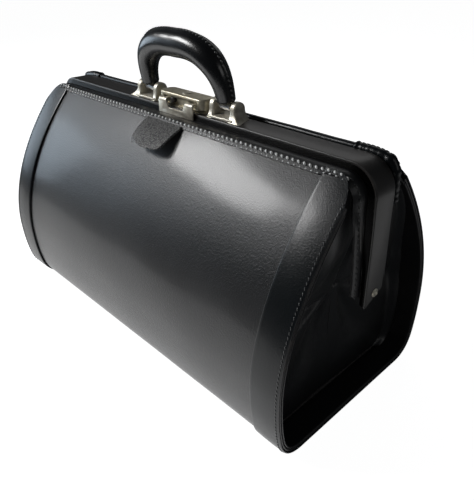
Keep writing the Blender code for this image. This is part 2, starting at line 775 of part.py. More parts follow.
def make_pull_tab():
    """Leather tab hanging below the hasp, lifted a little off the front panel."""
    tip = [(TAB_TIP_HALF, TAB_CORNER - TAB_LENGTH), (TAB_TIP_HALF - TAB_CORNER, -TAB_LENGTH)]
    right = [(TAB_ROOT_HALF, 0.0)] + tip
    outline = right + [(-x, z) for x, z in reversed(right)]
    tab = plate("pull_tab", outline, "XZ", -TAB_THICKNESS / 2, TAB_THICKNESS / 2)
    tab.matrix_world = Matrix.Translation(TAB_ROOT) @ Matrix.Rotation(TAB_LEAN, 4, "X") @ tab.matrix_world
    dress(bevel(tab, 0.0004, 1), LEATHER)


make_body()
for side_sign, side_name in ((-1, "left"), (1, "right")):
    make_gusset(side_sign, side_name)
    make_pivot_rivet(side_sign, side_name)
make_pocket()
make_frames()
make_trims()
make_handle()
for side_sign, side_name in ((-1, "left"), (1, "right")):
    make_bracket(side_sign, side_name)
make_lock()
make_hasp()
make_pull_tab()
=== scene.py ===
"""Doctor bag in black box calf: the looks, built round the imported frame.

Metres, +X along the bag, +Y back, +Z up.
"""

import json
import math

import bmesh
import bpy
from mathutils import Matrix, Vector, noise
from mathutils.geometry import interpolate_bezier


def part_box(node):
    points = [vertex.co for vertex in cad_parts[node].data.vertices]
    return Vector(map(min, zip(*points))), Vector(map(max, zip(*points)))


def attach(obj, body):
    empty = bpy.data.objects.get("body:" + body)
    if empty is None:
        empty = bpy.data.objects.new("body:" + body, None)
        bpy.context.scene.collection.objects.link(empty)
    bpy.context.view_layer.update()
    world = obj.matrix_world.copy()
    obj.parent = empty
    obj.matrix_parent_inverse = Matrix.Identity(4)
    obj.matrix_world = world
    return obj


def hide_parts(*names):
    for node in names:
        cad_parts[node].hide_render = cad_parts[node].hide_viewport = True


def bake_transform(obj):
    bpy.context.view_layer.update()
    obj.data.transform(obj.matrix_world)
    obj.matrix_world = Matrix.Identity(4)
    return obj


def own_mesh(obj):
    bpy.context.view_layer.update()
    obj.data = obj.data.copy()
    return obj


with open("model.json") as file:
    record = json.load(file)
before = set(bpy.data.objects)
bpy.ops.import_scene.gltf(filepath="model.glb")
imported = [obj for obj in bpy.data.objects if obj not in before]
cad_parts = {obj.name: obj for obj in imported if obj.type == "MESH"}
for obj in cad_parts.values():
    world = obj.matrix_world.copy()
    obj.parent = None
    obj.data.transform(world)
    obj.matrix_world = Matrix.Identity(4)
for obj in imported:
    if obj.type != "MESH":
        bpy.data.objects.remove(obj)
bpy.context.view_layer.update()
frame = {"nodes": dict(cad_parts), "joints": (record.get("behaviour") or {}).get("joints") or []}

SIDES = ((-1, "left"), (1, "right"))
HALVES = ((-1, "front"), (1, "back"))

# ---- places taken from the frame ----------------------------------------------------------------

JOINTS = {joint["name"]: joint for joint in frame["joints"]}
PIVOT_Z = JOINTS["front_frame_open"]["pos_m"][2]
PIN_Z = JOINTS["handle_fold"]["pos_m"][2]
TAB_ROOT = Vector(JOINTS["pull_tab_lift"]["pos_m"])
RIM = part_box("side_band_right")[1].x
BAND_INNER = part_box("side_band_right")[0].x
MOUTH_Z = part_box("side_band_right")[1].z
BULGE_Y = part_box("side_band_right")[1].y
STRIP_LOW, STRIP_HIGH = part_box("back_frame_strip")
RAIL_LOW, RAIL_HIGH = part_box("front_frame_rail")
CASE_LOW, CASE_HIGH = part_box("lock_case")
HASP_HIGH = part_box("hasp")[1]
BRACKET_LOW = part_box("handle_bracket_right")[0]
BRACKET_X = sum(p.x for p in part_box("handle_pin_right")) / 2
FLANGE = 0.0060

# Leather layers, as depths below the outer surface of the rim
BAND_SKIN = (0.0, 0.0015)
PANEL_SKIN = (0.0018, 0.0040)
FACING_SKIN = (0.0043, 0.0058)
LINING_SKIN = (0.0043, 0.0051)
GUSSET_DEPTH = 0.0059

# Bend of the leather's top corners, in X and Z
CORNER = (0.191, 0.2032)
CORNER_RADIUS = 0.0170


# ---- small helpers ------------------------------------------------------------------------------


def smooth(value):
    """0 below 0, 1 above 1, and an even S between."""
    value = min(max(value, 0.0), 1.0)
    return value * value * (3 - 2 * value)


def mix(a, b, share):
    return a + (b - a) * share


def hump(value, centre, width):
    """A round bump of height 1 at the centre, 0 from width away."""
    share = abs(value - centre) / width
    return 0.0 if share >= 1 else math.cos(share * math.pi / 2) ** 2


def arc(centre, radius, start, end, steps):
    """Points of an arc in a plane, from angle start to end in degrees."""
    angles = [math.radians(mix(start, end, i / steps)) for i in range(steps + 1)]
    return [(centre[0] + radius * math.cos(a), centre[1] + radius * math.sin(a)) for a in angles]


def spread(low, high, steps):
    return [mix(low, high, i / steps) for i in range(steps + 1)]


# ---- nodes: one graph class for shaders and geometry, one value class for arithmetic ---------------


class Value:
    """A number socket: Python arithmetic on it adds the Math nodes."""

    def __init__(self, graph, socket):
        self.graph = graph
        self.socket = socket

    def __add__(self, other):
        return self.graph.math("ADD", self, other)

    def __sub__(self, other):
        return self.graph.math("SUBTRACT", self, other)

    def __rsub__(self, other):
        return self.graph.math("SUBTRACT", other, self)

    def __mul__(self, other):
        return self.graph.math("MULTIPLY", self, other)

    def __truediv__(self, other):
        return self.graph.math("DIVIDE", self, other)

    def __pow__(self, other):
        return self.graph.math("POWER", self, other)

    __radd__ = __add__
    __rmul__ = __mul__


class Graph:
    """A node tree under construction."""

    def __init__(self, tree):
        self.tree = tree

    def node(self, kind, settings=None, inputs=None):
        """Makes a node: its settings first, then the values or links of its sockets."""
        made = self.tree.nodes.new(kind)
        for name, value in (settings or {}).items():
            if name == "stops":
                self.set_stops(made.color_ramp, value)
            else:
                setattr(made, name, value)
        for name, value in (inputs or {}).items():
            self.feed(made.inputs[name], value)
        return made

    @staticmethod
    def set_stops(ramp, stops):
        while len(ramp.elements) < len(stops):
            ramp.elements.new(1.0)
        for element, (place, colour) in zip(ramp.elements, stops):
            element.position = place
            element.color = (*colour, 1.0) if isinstance(colour, tuple) else (colour, colour, colour, 1.0)

    def feed(self, socket, value):
        if isinstance(value, Value):
            value = value.socket
        if isinstance(value, bpy.types.NodeSocket):
            self.tree.links.new(value, socket)
        else:
            socket.default_value = value

    def value(self, kind, settings=None, inputs=None, output=0):
        return Value(self, self.node(kind, settings, inputs).outputs[output])

    def math(self, operation, first, second):
        return self.value("ShaderNodeMath", {"operation": operation}, {0: first, 1: second})


class Finish(Graph):
    """A material with one Principled shader, patterned on Object coordinates."""

    def __init__(self, name, **constants):
        self.material = bpy.data.materials.new(name)
        self.material.use_nodes = True
        super().__init__(self.material.node_tree)
        self.shader = self.tree.nodes["Principled BSDF"]
        for socket, value in constants.items():
            self.shader.inputs[socket.replace("_", " ")].default_value = value
        self.place = self.node("ShaderNodeTexCoord").outputs["Object"]

    def noise(self, scale, detail=3.0, roughness=0.55, place=None, **more):
        inputs = {"Vector": place or self.place, "Scale": scale, "Detail": detail, "Roughness": roughness}
        return self.value("ShaderNodeTexNoise", None, {**inputs, **more}, "Fac")

    def cells(self, scale, feature="SMOOTH_F1", **more):
        inputs = {"Vector": self.place, "Scale": scale, **more}
        return self.value("ShaderNodeTexVoronoi", {"feature": feature}, inputs, "Distance")

    def ramp(self, value, *stops):
        return self.node("ShaderNodeValToRGB", {"stops": stops}, {"Fac": value}).outputs["Color"]

    def span(self, value, low, high, to_low=0.0, to_high=1.0):
        """Maps a number from one span to another, held at both ends."""
        inputs = {"Value": value, "From Min": low, "From Max": high, "To Min": to_low, "To Max": to_high}
        return self.value("ShaderNodeMapRange", None, inputs)

    def blend(self, share, first, second):
        """A colour between two colours or colour sockets."""
        made = self.node("ShaderNodeMix", {"data_type": "RGBA"})
        for socket, value in (("Factor", share), (6, first), (7, second)):
            self.feed(made.inputs[socket], value)
        return made.outputs[2]

    def set(self, **sockets):
        for name, value in sockets.items():
            self.feed(self.shader.inputs[name.replace("_", " ")], value)
        return self

    def relief(self, height, distance, strength=1.0):
        """Feeds a height pattern, in metres at full strength, to the shader's normal."""
        inputs = {"Height": height, "Distance": distance, "Strength": strength}
        self.feed(self.shader.inputs["Normal"], self.node("ShaderNodeBump", None, inputs).outputs["Normal"])
        return self


# ---- materials ------------------------------------------------------------------------------------


def calf(name, dark, light, gloss, grain=1.0, pore=1500.0, coat=0.35, shine=0.5):
    """Black box calf: fine pores, faint creases and an uneven polish."""
    skin = Finish(name, Coat_Weight=coat, Coat_Roughness=0.16, Specular_IOR_Level=shine)
    pores = skin.cells(pore, Smoothness=0.6, Randomness=1.0)
    creases = skin.noise(420.0, 5.0, 0.65, Distortion=0.6)
    cloud = skin.noise(16.0, 3.0, 0.5)
    fine = skin.noise(2600.0, 2.0, 0.6)
    skin.set(Base_Color=skin.blend(skin.span(cloud, 0.35, 0.65), dark, light))
    skin.set(Roughness=gloss - 0.04 + cloud * 0.10 + creases * 0.06)
    tumbled = skin.noise(820.0, 2.0, 0.5)
    return skin.relief(pores * 0.8 + creases * 0.2 + fine * 0.35 + tumbled * 2.4, 0.00009 * grain).material


def grained(name):
    """Pebbled leather of the pull tab, coloured light grey as painted light on its lifted face, darker
    between the pebbles as painted shade.
    """
    skin = Finish(name, Coat_Weight=0.1, Coat_Roughness=0.35)
    pebbles = skin.cells(700.0, "F1", Randomness=1.0)
    fold = skin.noise(300.0, 4.0, 0.6, Distortion=1.2)
    tone = skin.span(pebbles, 0.1, 0.7)
    # Painted light and shade: pale grey on the pebble tops, near black in the pits between them.
    skin.set(Base_Color=skin.blend(tone, (0.26, 0.255, 0.245, 1), (0.045, 0.045, 0.046, 1)))
    skin.set(Roughness=0.42 + fold * 0.16)
    return skin.relief((1.0 - pebbles) * 0.9 + fold * 0.6, 0.00034).material


def soft_leather(name):
    """Thin folded leather of the end walls."""
    skin = Finish(name, Coat_Weight=0.12, Coat_Roughness=0.3, Sheen_Weight=0.08)
    pores = skin.cells(1100.0, Smoothness=0.5, Randomness=1.0)
    wrinkles = skin.noise(34.0, 2.0, 0.45, Distortion=0.5)
    cloud = skin.noise(22.0, 3.0, 0.5)
    skin.set(Base_Color=skin.blend(cloud, (0.0040, 0.0042, 0.0052, 1), (0.0080, 0.0082, 0.0095, 1)))
    skin.set(Roughness=0.30 + cloud * 0.14)
    return skin.relief(pores * 0.2 + wrinkles * 1.6, 0.00045).material


def edge_paint():
    """Cut leather edges under several coats of black edge paint."""
    paint = Finish("edge_paint", Coat_Weight=0.2, Coat_Roughness=0.3)
    rub = paint.noise(90.0, 5.0, 0.7)
    grit = paint.noise(1800.0, 3.0, 0.6)
    worn = paint.span(rub, 0.56, 0.72)
    paint.set(Base_Color=paint.blend(worn, (0.018, 0.017, 0.018, 1), (0.060, 0.052, 0.046, 1)))
    paint.set(Roughness=0.38 + grit * 0.15)
    return paint.relief(grit + rub * 2.0, 0.00012).material


def enamel(name, gloss, polish):
    """Black baked enamel on the steel frames, with a brown cast and fine dust texture; polish also scales the
    colour.
    """
    coat = Finish(name, Coat_Weight=polish, Coat_Roughness=0.25, Specular_IOR_Level=polish * 2)
    dust = coat.noise(1500.0, 3.0, 0.7)
    cloud = coat.noise(14.0, 3.0, 0.5)
    # polish darkens the colour too: at the flange's low polish this is painted shade.
    deep = [c * polish for c in (0.045, 0.040, 0.036)] + [1]
    pale = [c * polish for c in (0.10, 0.086, 0.076)] + [1]
    tone = coat.blend(cloud, deep, pale)
    coat.set(Base_Color=tone, Roughness=gloss + cloud * 0.10 + dust * 0.10)
    return coat.relief(dust, 0.00004).material


def nickel(name, tone, dull, rough):
    """Satin plating over a casting: soft brushing, small pits and a warm tarnish in patches."""
    plate = Finish(name, Metallic=0.72)
    patches = plate.noise(160.0, 4.0, 0.6)
    along = {"Vector": plate.place, "Scale": (60.0, 1600.0, 1600.0)}
    stretched = plate.node("ShaderNodeMapping", None, along)
    brushing = plate.noise(1.0, 3.0, 0.7, place=stretched.outputs["Vector"])
    pits = plate.noise(2400.0, 2.0, 0.6)
    tarnish = plate.span(patches, 0.42, 0.68)
    plate.set(Base_Color=plate.blend(tarnish, tone, dull))
    plate.set(Roughness=rough + brushing * 0.10 + tarnish * 0.08)
    return plate.relief(brushing * 0.6 + pits * 0.8, 0.00006).material


def bright_steel():
    steel = Finish("bright_steel", Metallic=1.0, Base_Color=(0.56, 0.56, 0.57, 1))
    lines = steel.noise(900.0, 3.0, 0.6)
    steel.set(Roughness=0.22 + lines * 0.14)
    return steel.relief(lines, 0.00003).material


def thread(name, dark, light):
    """Waxed polyester thread: two plies twisted together, the lighter ply colour a painted glint."""
    yarn = Finish(name, Coat_Weight=0.5, Coat_Roughness=0.2)
    plies = yarn.noise(2200.0, 2.0, 0.5)
    yarn.set(Base_Color=yarn.blend(plies, dark, light))
    yarn.set(Roughness=0.28 + plies * 0.2)
    return yarn.relief(plies, 0.00010).material


def woven(name, dark, light, pitch):
    """Plain woven cloth, threads crossing at a fixed pitch."""
    cloth = Finish(name, Sheen_Weight=0.25)
    split = cloth.node("ShaderNodeSeparateXYZ", None, {0: cloth.place})
    turns = math.tau / pitch
    warp = cloth.math("SINE", Value(cloth, split.outputs["X"]) * turns, 0.0)
    across = Value(cloth, split.outputs["Y"]) + Value(cloth, split.outputs["Z"])
    weft = cloth.math("SINE", across * turns, 0.0)
    weave = warp * weft
    cloud = cloth.noise(30.0)
    cloth.set(Base_Color=cloth.blend(cloth.span(weave + cloud, -0.6, 1.4), dark, light))
    cloth.set(Roughness=0.78 + cloud * 0.12)
    return cloth.relief(weave, 0.00018).material


def button_black():
    knob = Finish("slide_button", Coat_Weight=0.3, Coat_Roughness=0.2)
    wear = knob.noise(700.0, 4.0, 0.6)
    knob.set(Base_Color=knob.blend(wear, (0.012, 0.010, 0.009, 1), (0.050, 0.042, 0.034, 1)))
    return knob.set(Roughness=0.30 + wear * 0.2).relief(wear, 0.00005).material


BODY_CALF = calf("body_calf", (0.0045, 0.0046, 0.0054, 1), (0.0080, 0.0082, 0.0095, 1), 0.34, 1.3)
TRIM_CALF = calf(
    "trim_calf", (0.0030, 0.0040, 0.0050, 1), (0.0050, 0.0070, 0.0085, 1),
    0.26, 0.6, 1700.0, 0.15, 0.30,
)
HANDLE_CALF = calf(
    "handle_calf", (0.0030, 0.0035, 0.0045, 1), (0.0060, 0.0068, 0.0085, 1),
    0.24, 0.4, 1700.0, 0.45,
)
BINDING_CALF = calf(
    "binding_calf", (0.0040, 0.0040, 0.0048, 1), (0.0070, 0.0070, 0.0080, 1),
    0.40, 0.8, 1300.0, 0.1,
)
TAB_LEATHER = grained("tab_leather")
GUSSET_LEATHER = soft_leather("gusset_leather")
EDGE_PAINT = edge_paint()
ENAMEL = enamel("frame_enamel", 0.36, 0.30)
# Near-black, barely reflecting copy of the frame enamel: painted shade of the gap under the plate's front
# edge.
SHADED_FLANGE_ENAMEL = enamel("flange_enamel_painted_shade", 0.16, 0.02)
NICKEL = nickel("satin_nickel", (0.74, 0.70, 0.60, 1), (0.56, 0.51, 0.41, 1), 0.36)
CASE_NICKEL = nickel("case_nickel", (0.66, 0.61, 0.48, 1), (0.46, 0.41, 0.30, 1), 0.30)
STEEL = bright_steel()
# Near-white thread on the mouth: the black waxed thread's glints painted into its colour.
THREAD = thread("glint_painted_thread", (0.85, 0.85, 0.83, 1), (0.97, 0.97, 0.95, 1))
BAND_THREAD = thread("grey_thread", (0.050, 0.050, 0.050, 1), (0.17, 0.17, 0.17, 1))
BLACK_THREAD = thread("black_thread", (0.020, 0.020, 0.021, 1), (0.075, 0.075, 0.075, 1))
LINING_CLOTH = woven("lining_cloth", (0.020, 0.018, 0.018, 1), (0.075, 0.066, 0.062, 1), 0.0009)
CARD_CLOTH = woven("board_cloth", (0.016, 0.015, 0.015, 1), (0.055, 0.050, 0.047, 1), 0.0014)
BUTTON = button_black()


# ---- mesh helpers ---------------------------------------------------------------------------------


def new_object(name, mesh, *materials):
    made = bpy.data.objects.new(name, mesh)
    bpy.context.scene.collection.objects.link(made)
    for finish in materials:
        mesh.materials.append(finish)
    return made


def solid(name, points, faces, *materials, edges=None):
    """A closed mesh with its normals out, shaded smooth.

    edges(face centre) may send faces to the second material.
    """
    mesh = bpy.data.meshes.new(name)
    mesh.from_pydata([tuple(p) for p in points], [], faces)
    build = bmesh.new()
    build.from_mesh(mesh)
    bmesh.ops.remove_doubles(build, verts=build.verts, dist=1e-7)
    bmesh.ops.recalc_face_normals(build, faces=build.faces)
    for face in build.faces:
        face.smooth = True
        if edges and edges(face.calc_center_median()):
            face.material_index = 1
    build.to_mesh(mesh)
    build.free()
    mesh.set_sharp_from_angle(angle=math.radians(50))
    return new_object(name, mesh, *materials)


def loft(name, rings, *materials, edges=None):
    """Joins equal closed rings of points into a capped solid."""
    count = len(rings[0])
    points = [p for ring in rings for p in ring]
    faces = []
    for i in range(len(rings) - 1):
        for j in range(count):
            k = (j + 1) % count
            faces.append((i * count + j, i * count + k, (i + 1) * count + k, (i + 1) * count + j))
    last = (len(rings) - 1) * count
    faces.append(tuple(range(count)))
    faces.append(tuple(last + j for j in range(count)))
    return solid(name, points, faces, *materials, edges=edges)


def slab(name, grid, thickness, inward, *materials, edges=None):
    """A closed sheet from a grid of points on its face; inward(point) is the way its thickness goes."""
    rows, columns = len(grid), len(grid[0])
    inner = []
    for i in range(rows):
        inner.append([])
        for j in range(columns):
            along = grid[min(i + 1, rows - 1)][j] - grid[max(i - 1, 0)][j]
            across = grid[i][min(j + 1, columns - 1)] - grid[i][max(j - 1, 0)]
            normal = along.cross(across).normalized()
            if normal.dot(inward(grid[i][j])) < 0:
                normal = -normal
            inner[i].append(grid[i][j] + normal * thickness)
    points = [p for row in grid for p in row] + [p for row in inner for p in row]
    shift = rows * columns
    faces = []
    for i in range(rows - 1):
        for j in range(columns - 1):
            a, b = i * columns + j, i * columns + j + 1
            c, d = b + columns, a + columns
            faces += [(a, b, c, d), (a + shift, d + shift, c + shift, b + shift)]
    border = [j for j in range(columns)]
    border += [i * columns + columns - 1 for i in range(1, rows)]
    border += [(rows - 1) * columns + j for j in range(columns - 2, -1, -1)]
    border += [i * columns for i in range(rows - 2, 0, -1)]
    for a, b in zip(border, border[1:] + border[:1]):
        faces.append((a, b, b + shift, a + shift))
    return solid(name, points, faces, *materials, edges=edges)


def frames_along(path, up):
    """(tangent, normal, binormal) at each point of a path; up(i) is the rough outward direction."""
    made = []
    for i, point in enumerate(path):
        tangent = (path[min(i + 1, len(path) - 1)] - path[max(i - 1, 0)]).normalized()
        outward = up(i)
        normal = (outward - tangent * outward.dot(tangent)).normalized()
        made.append((tangent, normal, tangent.cross(normal)))
    return made


def strap(name, path, up, width, thickness, *materials, corners=4, crown=0.0, edges=None):
    """A leather strip along a path, with rounded edges: width(share) and thickness(share) along it."""
    rings = []
    for i, (_, normal, side) in enumerate(frames_along(path, up)):
        share = i / (len(path) - 1)
        half, deep = width(share) / 2, thickness(share) / 2
        radius = min(deep, half) * 0.98
        outline = []
        for sx, sy, start in ((1, 1, 0), (-1, 1, 90), (-1, -1, 180), (1, -1, 270)):
            centre = (sx * (half - radius), sy * (deep - radius))
            outline += arc(centre, radius, start, start + 90, corners)
        rings.append(
            [path[i] + side * a + normal * (b + crown * (1 - (a / half) ** 2)) for a, b in outline]
        )
    return loft(name, rings, *materials, edges=edges)


def prism(name, outline, plane, low, high, *materials):
    """A flat outline made thick between low and high along the plane's normal."""
    order = {"XY": (0, 1, 2), "YZ": (2, 0, 1), "XZ": (0, 2, 1)}[plane]
    rings = []
    for depth in (low, high):
        rings.append([Vector([(a, b, depth)[k] for k in order]) for a, b in outline])
    return loft(name, rings, *materials)


def frozen(obj):
    """Turns an object's modifiers into its mesh."""
    graph = bpy.context.evaluated_depsgraph_get()
    mesh = bpy.data.meshes.new_from_object(obj.evaluated_get(graph))
    old = obj.data
    obj.modifiers.clear()
    obj.data = mesh
    bpy.data.meshes.remove(old)
    return obj


def rounded(obj, width, segments=3, angle=40.0):
    """Rounds an object's hard edges."""
    modifier = obj.modifiers.new("round", "BEVEL")
    modifier.width = width
    modifier.segments = segments
    modifier.limit_method = "ANGLE"
    modifier.angle_limit = math.radians(angle)
    modifier.harden_normals = True
    made = frozen(obj)
    made.data.shade_smooth()
    made.data.set_sharp_from_angle(angle=math.radians(35))
    return made


def combined(obj, operation, *others):
    """Boolean of an object with others, which are used up."""
    for other in others:
        modifier = obj.modifiers.new("shape", "BOOLEAN")
        modifier.operation = operation
        modifier.object = other
    made = frozen(obj)
    for other in others:
        bpy.data.objects.remove(other)
    return made


def joined(name, pieces):
    """One object from several, keeping their materials."""
    bpy.ops.object.select_all(action="DESELECT")
    for piece in pieces:
        piece.select_set(True)
    bpy.context.view_layer.objects.active = pieces[0]
    bpy.ops.object.join()
    pieces[0].name = name
    pieces[0].data.name = name
    return pieces[0]


def settle(piece, body=None, bends=None, nodes=()):
    """Hides the frame nodes a finished piece stands for, then hangs it on its body or bakes its transform."""
    if nodes:
        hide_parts(*nodes)
    if body:
        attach(piece, body)
    if bends:
        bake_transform(piece)
    return piece


# ---- geometry nodes: stitches and rolled leather -----------------------------------------------------


def named_input(tree, name, kind, default=None):
    socket = tree.interface.new_socket(name, in_out="INPUT", socket_type=kind)
    if default is not None:
        socket.default_value = default
    return socket


def stitch_tree():
    """Puts one slanted stitch of thread at each pitch along a line, standing on its surface normal."""
    tree = bpy.data.node_groups.new("stitch_row", "GeometryNodeTree")
    named_input(tree, "Line", "NodeSocketGeometry")
    sizes = {"Pitch": 0.004, "Length": 0.003, "Thickness": 0.0008, "Slant": 0.0}
    for name, default in sizes.items():
        named_input(tree, name, "NodeSocketFloat", default)
    named_input(tree, "Thread", "NodeSocketMaterial")
    tree.interface.new_socket("Stitches", in_out="OUTPUT", socket_type="NodeSocketGeometry")
    graph = Graph(tree)
    given = graph.node("NodeGroupInput").outputs
    sized = {name: Value(graph, given[name]) for name in sizes}
    line = graph.node("GeometryNodeMeshToCurve", None, {"Mesh": given["Line"]})
    evened = graph.node(
        "GeometryNodeResampleCurve", {"mode": "LENGTH"}, {"Curve": line.outputs[0], "Length": sized["Pitch"]}
    )
    blob = graph.node("GeometryNodeMeshUVSphere", None, {"Segments": 8, "Rings": 5, "Radius": 0.5})
    size = graph.node(
        "ShaderNodeCombineXYZ", None, {0: sized["Length"], 1: sized["Thickness"], 2: sized["Thickness"]}
    )
    scaled_blob = {"Geometry": blob.outputs["Mesh"], "Scale": size.outputs[0]}
    stitch = graph.node("GeometryNodeTransform", None, scaled_blob)
    tangent = graph.node("GeometryNodeInputTangent")
    normal = graph.node("GeometryNodeInputNamedAttribute", {"data_type": "FLOAT_VECTOR"}, {"Name": "surface"})
    along = graph.node("FunctionNodeAlignRotationToVector", {"axis": "X"}, {"Vector": tangent.outputs[0]})
    upright = graph.node(
        "FunctionNodeAlignRotationToVector",
        {"axis": "Z", "pivot_axis": "X"},
        {"Rotation": along.outputs[0], "Vector": normal.outputs["Attribute"]},
    )
    slant = graph.node("FunctionNodeAxisAngleToRotation", None, {"Axis": (0, 0, 1), "Angle": sized["Slant"]})
    turned = graph.node(
        "FunctionNodeRotateRotation",
        {"rotation_space": "LOCAL"},
        {"Rotation": upright.outputs[0], "Rotate By": slant.outputs[0]},
    )
    placed = graph.node(
        "GeometryNodeInstanceOnPoints",
        None,
        {"Points": evened.outputs[0], "Instance": stitch.outputs[0], "Rotation": turned.outputs[0]},
    )
    real = graph.node("GeometryNodeRealizeInstances", None, {"Geometry": placed.outputs[0]})
    sewn = graph.node(
        "GeometryNodeSetMaterial", None, {"Geometry": real.outputs[0], "Material": given["Thread"]}
    )
    graph.node("NodeGroupOutput", None, {"Stitches": sewn.outputs[0]})
    return tree


def rolled_tree():
    """Wraps leather round a line: a tube with the line's own radius and round ends."""
    tree = bpy.data.node_groups.new("rolled_leather", "GeometryNodeTree")
    named_input(tree, "Line", "NodeSocketGeometry")
    named_input(tree, "Radius", "NodeSocketFloat", 0.003)
    named_input(tree, "Sides", "NodeSocketInt", 16)
    named_input(tree, "Leather", "NodeSocketMaterial")
    tree.interface.new_socket("Roll", in_out="OUTPUT", socket_type="NodeSocketGeometry")
    graph = Graph(tree)
    given = graph.node("NodeGroupInput").outputs
    line = graph.node("GeometryNodeMeshToCurve", None, {"Mesh": given["Line"]})
    swell = graph.node("GeometryNodeInputNamedAttribute", {"data_type": "FLOAT"}, {"Name": "swell"})
    radius = Value(graph, swell.outputs["Attribute"]) * Value(graph, given["Radius"])
    thick = graph.node("GeometryNodeSetCurveRadius", None, {"Curve": line.outputs[0], "Radius": radius})
    ring = graph.node("GeometryNodeCurvePrimitiveCircle", None, {"Resolution": given["Sides"], "Radius": 1.0})
    roll = graph.node(
        "GeometryNodeCurveToMesh",
        None,
        {"Curve": thick.outputs[0], "Profile Curve": ring.outputs["Curve"], "Fill Caps": True},
    )
    if "Scale" in roll.inputs:
        graph.feed(roll.inputs["Scale"], radius)
    real = graph.node("GeometryNodeRealizeInstances", None, {"Geometry": roll.outputs[0]})
    skin = graph.node(
        "GeometryNodeSetMaterial", None, {"Geometry": real.outputs[0], "Material": given["Leather"]}
    )
    graph.node("NodeGroupOutput", None, {"Roll": skin.outputs[0]})
    return tree


STITCH_TREE = stitch_tree()
ROLLED_TREE = rolled_tree()


def line_mesh(name, lines, attribute, kind, values):
    """A mesh of open lines with one attribute on its points."""
    mesh = bpy.data.meshes.new(name)
    points, edges = [], []
    for line in lines:
        first = len(points)
        points += [tuple(p) for p in line]
        edges += [(first + i, first + i + 1) for i in range(len(line) - 1)]
    mesh.from_pydata(points, edges, [])
    layer = mesh.attributes.new(attribute, kind, "POINT")
    flat = [v for line in values for v in line]
    if kind == "FLOAT_VECTOR":
        layer.data.foreach_set("vector", [c for v in flat for c in v])
    else:
        layer.data.foreach_set("value", flat)
    return mesh


def grown(name, mesh, tree, **inputs):
    """Runs a geometry tree on a mesh of lines and returns the plain result."""
    host = new_object(name, mesh)
    modifier = host.modifiers.new("grow", "NODES")
    modifier.node_group = tree
    for item in tree.interface.items_tree:
        if item.item_type == "SOCKET" and item.in_out == "INPUT" and item.name in inputs:
            modifier[item.identifier] = inputs[item.name]
    made = frozen(host)
    build = bmesh.new()
    build.from_mesh(made.data)
    bmesh.ops.remove_doubles(build, verts=build.verts, dist=1e-7)
    bmesh.ops.recalc_face_normals(build, faces=build.faces)
    build.to_mesh(made.data)
    build.free()
    made.data.shade_smooth()
    return made


def stitches(name, rows, pitch, length, thickness, slant, yarn):
    """Rows of stitches; a row is a list of (point, surface normal)."""
    lines = [[p for p, _ in row] for row in rows]
    normals = [[n for _, n in row] for row in rows]
    mesh = line_mesh(name, lines, "surface", "FLOAT_VECTOR", normals)
    sizes = {"Pitch": pitch, "Length": length, "Thickness": thickness, "Slant": math.radians(slant)}
    return grown(name, mesh, STITCH_TREE, Thread=yarn, **sizes)


def rolled(name, lines, swells, radius, finish, sides=16):
    """Rolled leather along lines; swells are the shares of the radius along each."""
    mesh = line_mesh(name, lines, "swell", "FLOAT", swells)
    return grown(name, mesh, ROLLED_TREE, Radius=radius, Sides=sides, Leather=finish)


# ---- cross-section of the leather body ---------------------------------------------------------------


def section_points():
    """Outer surface on the +Y side as (y, z), from the mouth to the middle of the base."""
    mouth = (0.0235, MOUTH_Z)
    spans = (
        (mouth, (0.0725, 0.1706), (BULGE_Y, 0.1150), (BULGE_Y, 0.0650), 90),
        ((BULGE_Y, 0.0650), (BULGE_Y, 0.0430), (0.0990, 0.0330), (0.0968, 0.0220), 20),
        ((0.0968, 0.0220), (0.0930, 0.0060), (0.0830, 0.0), (0.0700, 0.0), 24),
    )
    points = []
    for *corners, steps in spans:
        points += [Vector(p[:2]) for p in interpolate_bezier(*[Vector(c) for c in corners], steps)][:-1]
    return points + [Vector((0.0700, 0.0)), Vector((0.0350, 0.0)), Vector((0.0, 0.0))]


class Section:
    """The body's half section, read by length along it from the mouth edge."""

    def __init__(self):
        self.points = section_points()
        self.lengths = [0.0]
        for a, b in zip(self.points, self.points[1:]):
            self.lengths.append(self.lengths[-1] + (b - a).length)
        self.total = self.lengths[-1]

    def at(self, length):
        """(point, outward normal) at a length along the section."""
        length = min(max(length, 0.0), self.total)
        low, high = 0, len(self.points) - 1
        while high - low > 1:
            middle = (low + high) // 2
            if self.lengths[middle] <= length:
                low = middle
            else:
                high = middle
        a, b = self.points[low], self.points[high]
        share = (length - self.lengths[low]) / (self.lengths[high] - self.lengths[low])
        before = self.points[max(low - 1, 0)]
        after = self.points[min(high + 1, len(self.points) - 1)]
        first = (b - before).normalized()
        second = (after - a).normalized()
        along = first.lerp(second, share).normalized()
        return a.lerp(b, share), Vector((-along.y, along.x))

    def length_at(self, z):
        """Length along the section at which it comes down to a height."""
        for i, (a, b) in enumerate(zip(self.points, self.points[1:])):
            if b.y <= z <= a.y and a.y > b.y:
                return mix(self.lengths[i], self.lengths[i + 1], (a.y - z) / (a.y - b.y))
        return 0.0

    def width_at(self, z, depth):
        """Half of the width at a height, at a depth below the outer surface."""
        low, high = 0.0, self.lengths[-3]
        for _ in range(30):
            middle = (low + high) / 2
            point, normal = self.at(middle)
            if point.y - normal.y * depth > z:
                low = middle
            else:
                high = middle
        point, normal = self.at(low)
        return point.x - normal.x * depth


SECTION = Section()


def top_trim(x):
    """How much of the section's top is cut away at x, for the rounded top corners."""
    past = abs(x) - CORNER[0]
    if past <= 0:
        return 0.0
    drop = CORNER_RADIUS - math.sqrt(max(CORNER_RADIUS**2 - past**2, 0.0))
    return SECTION.length_at(CORNER[1] + CORNER_RADIUS - drop)


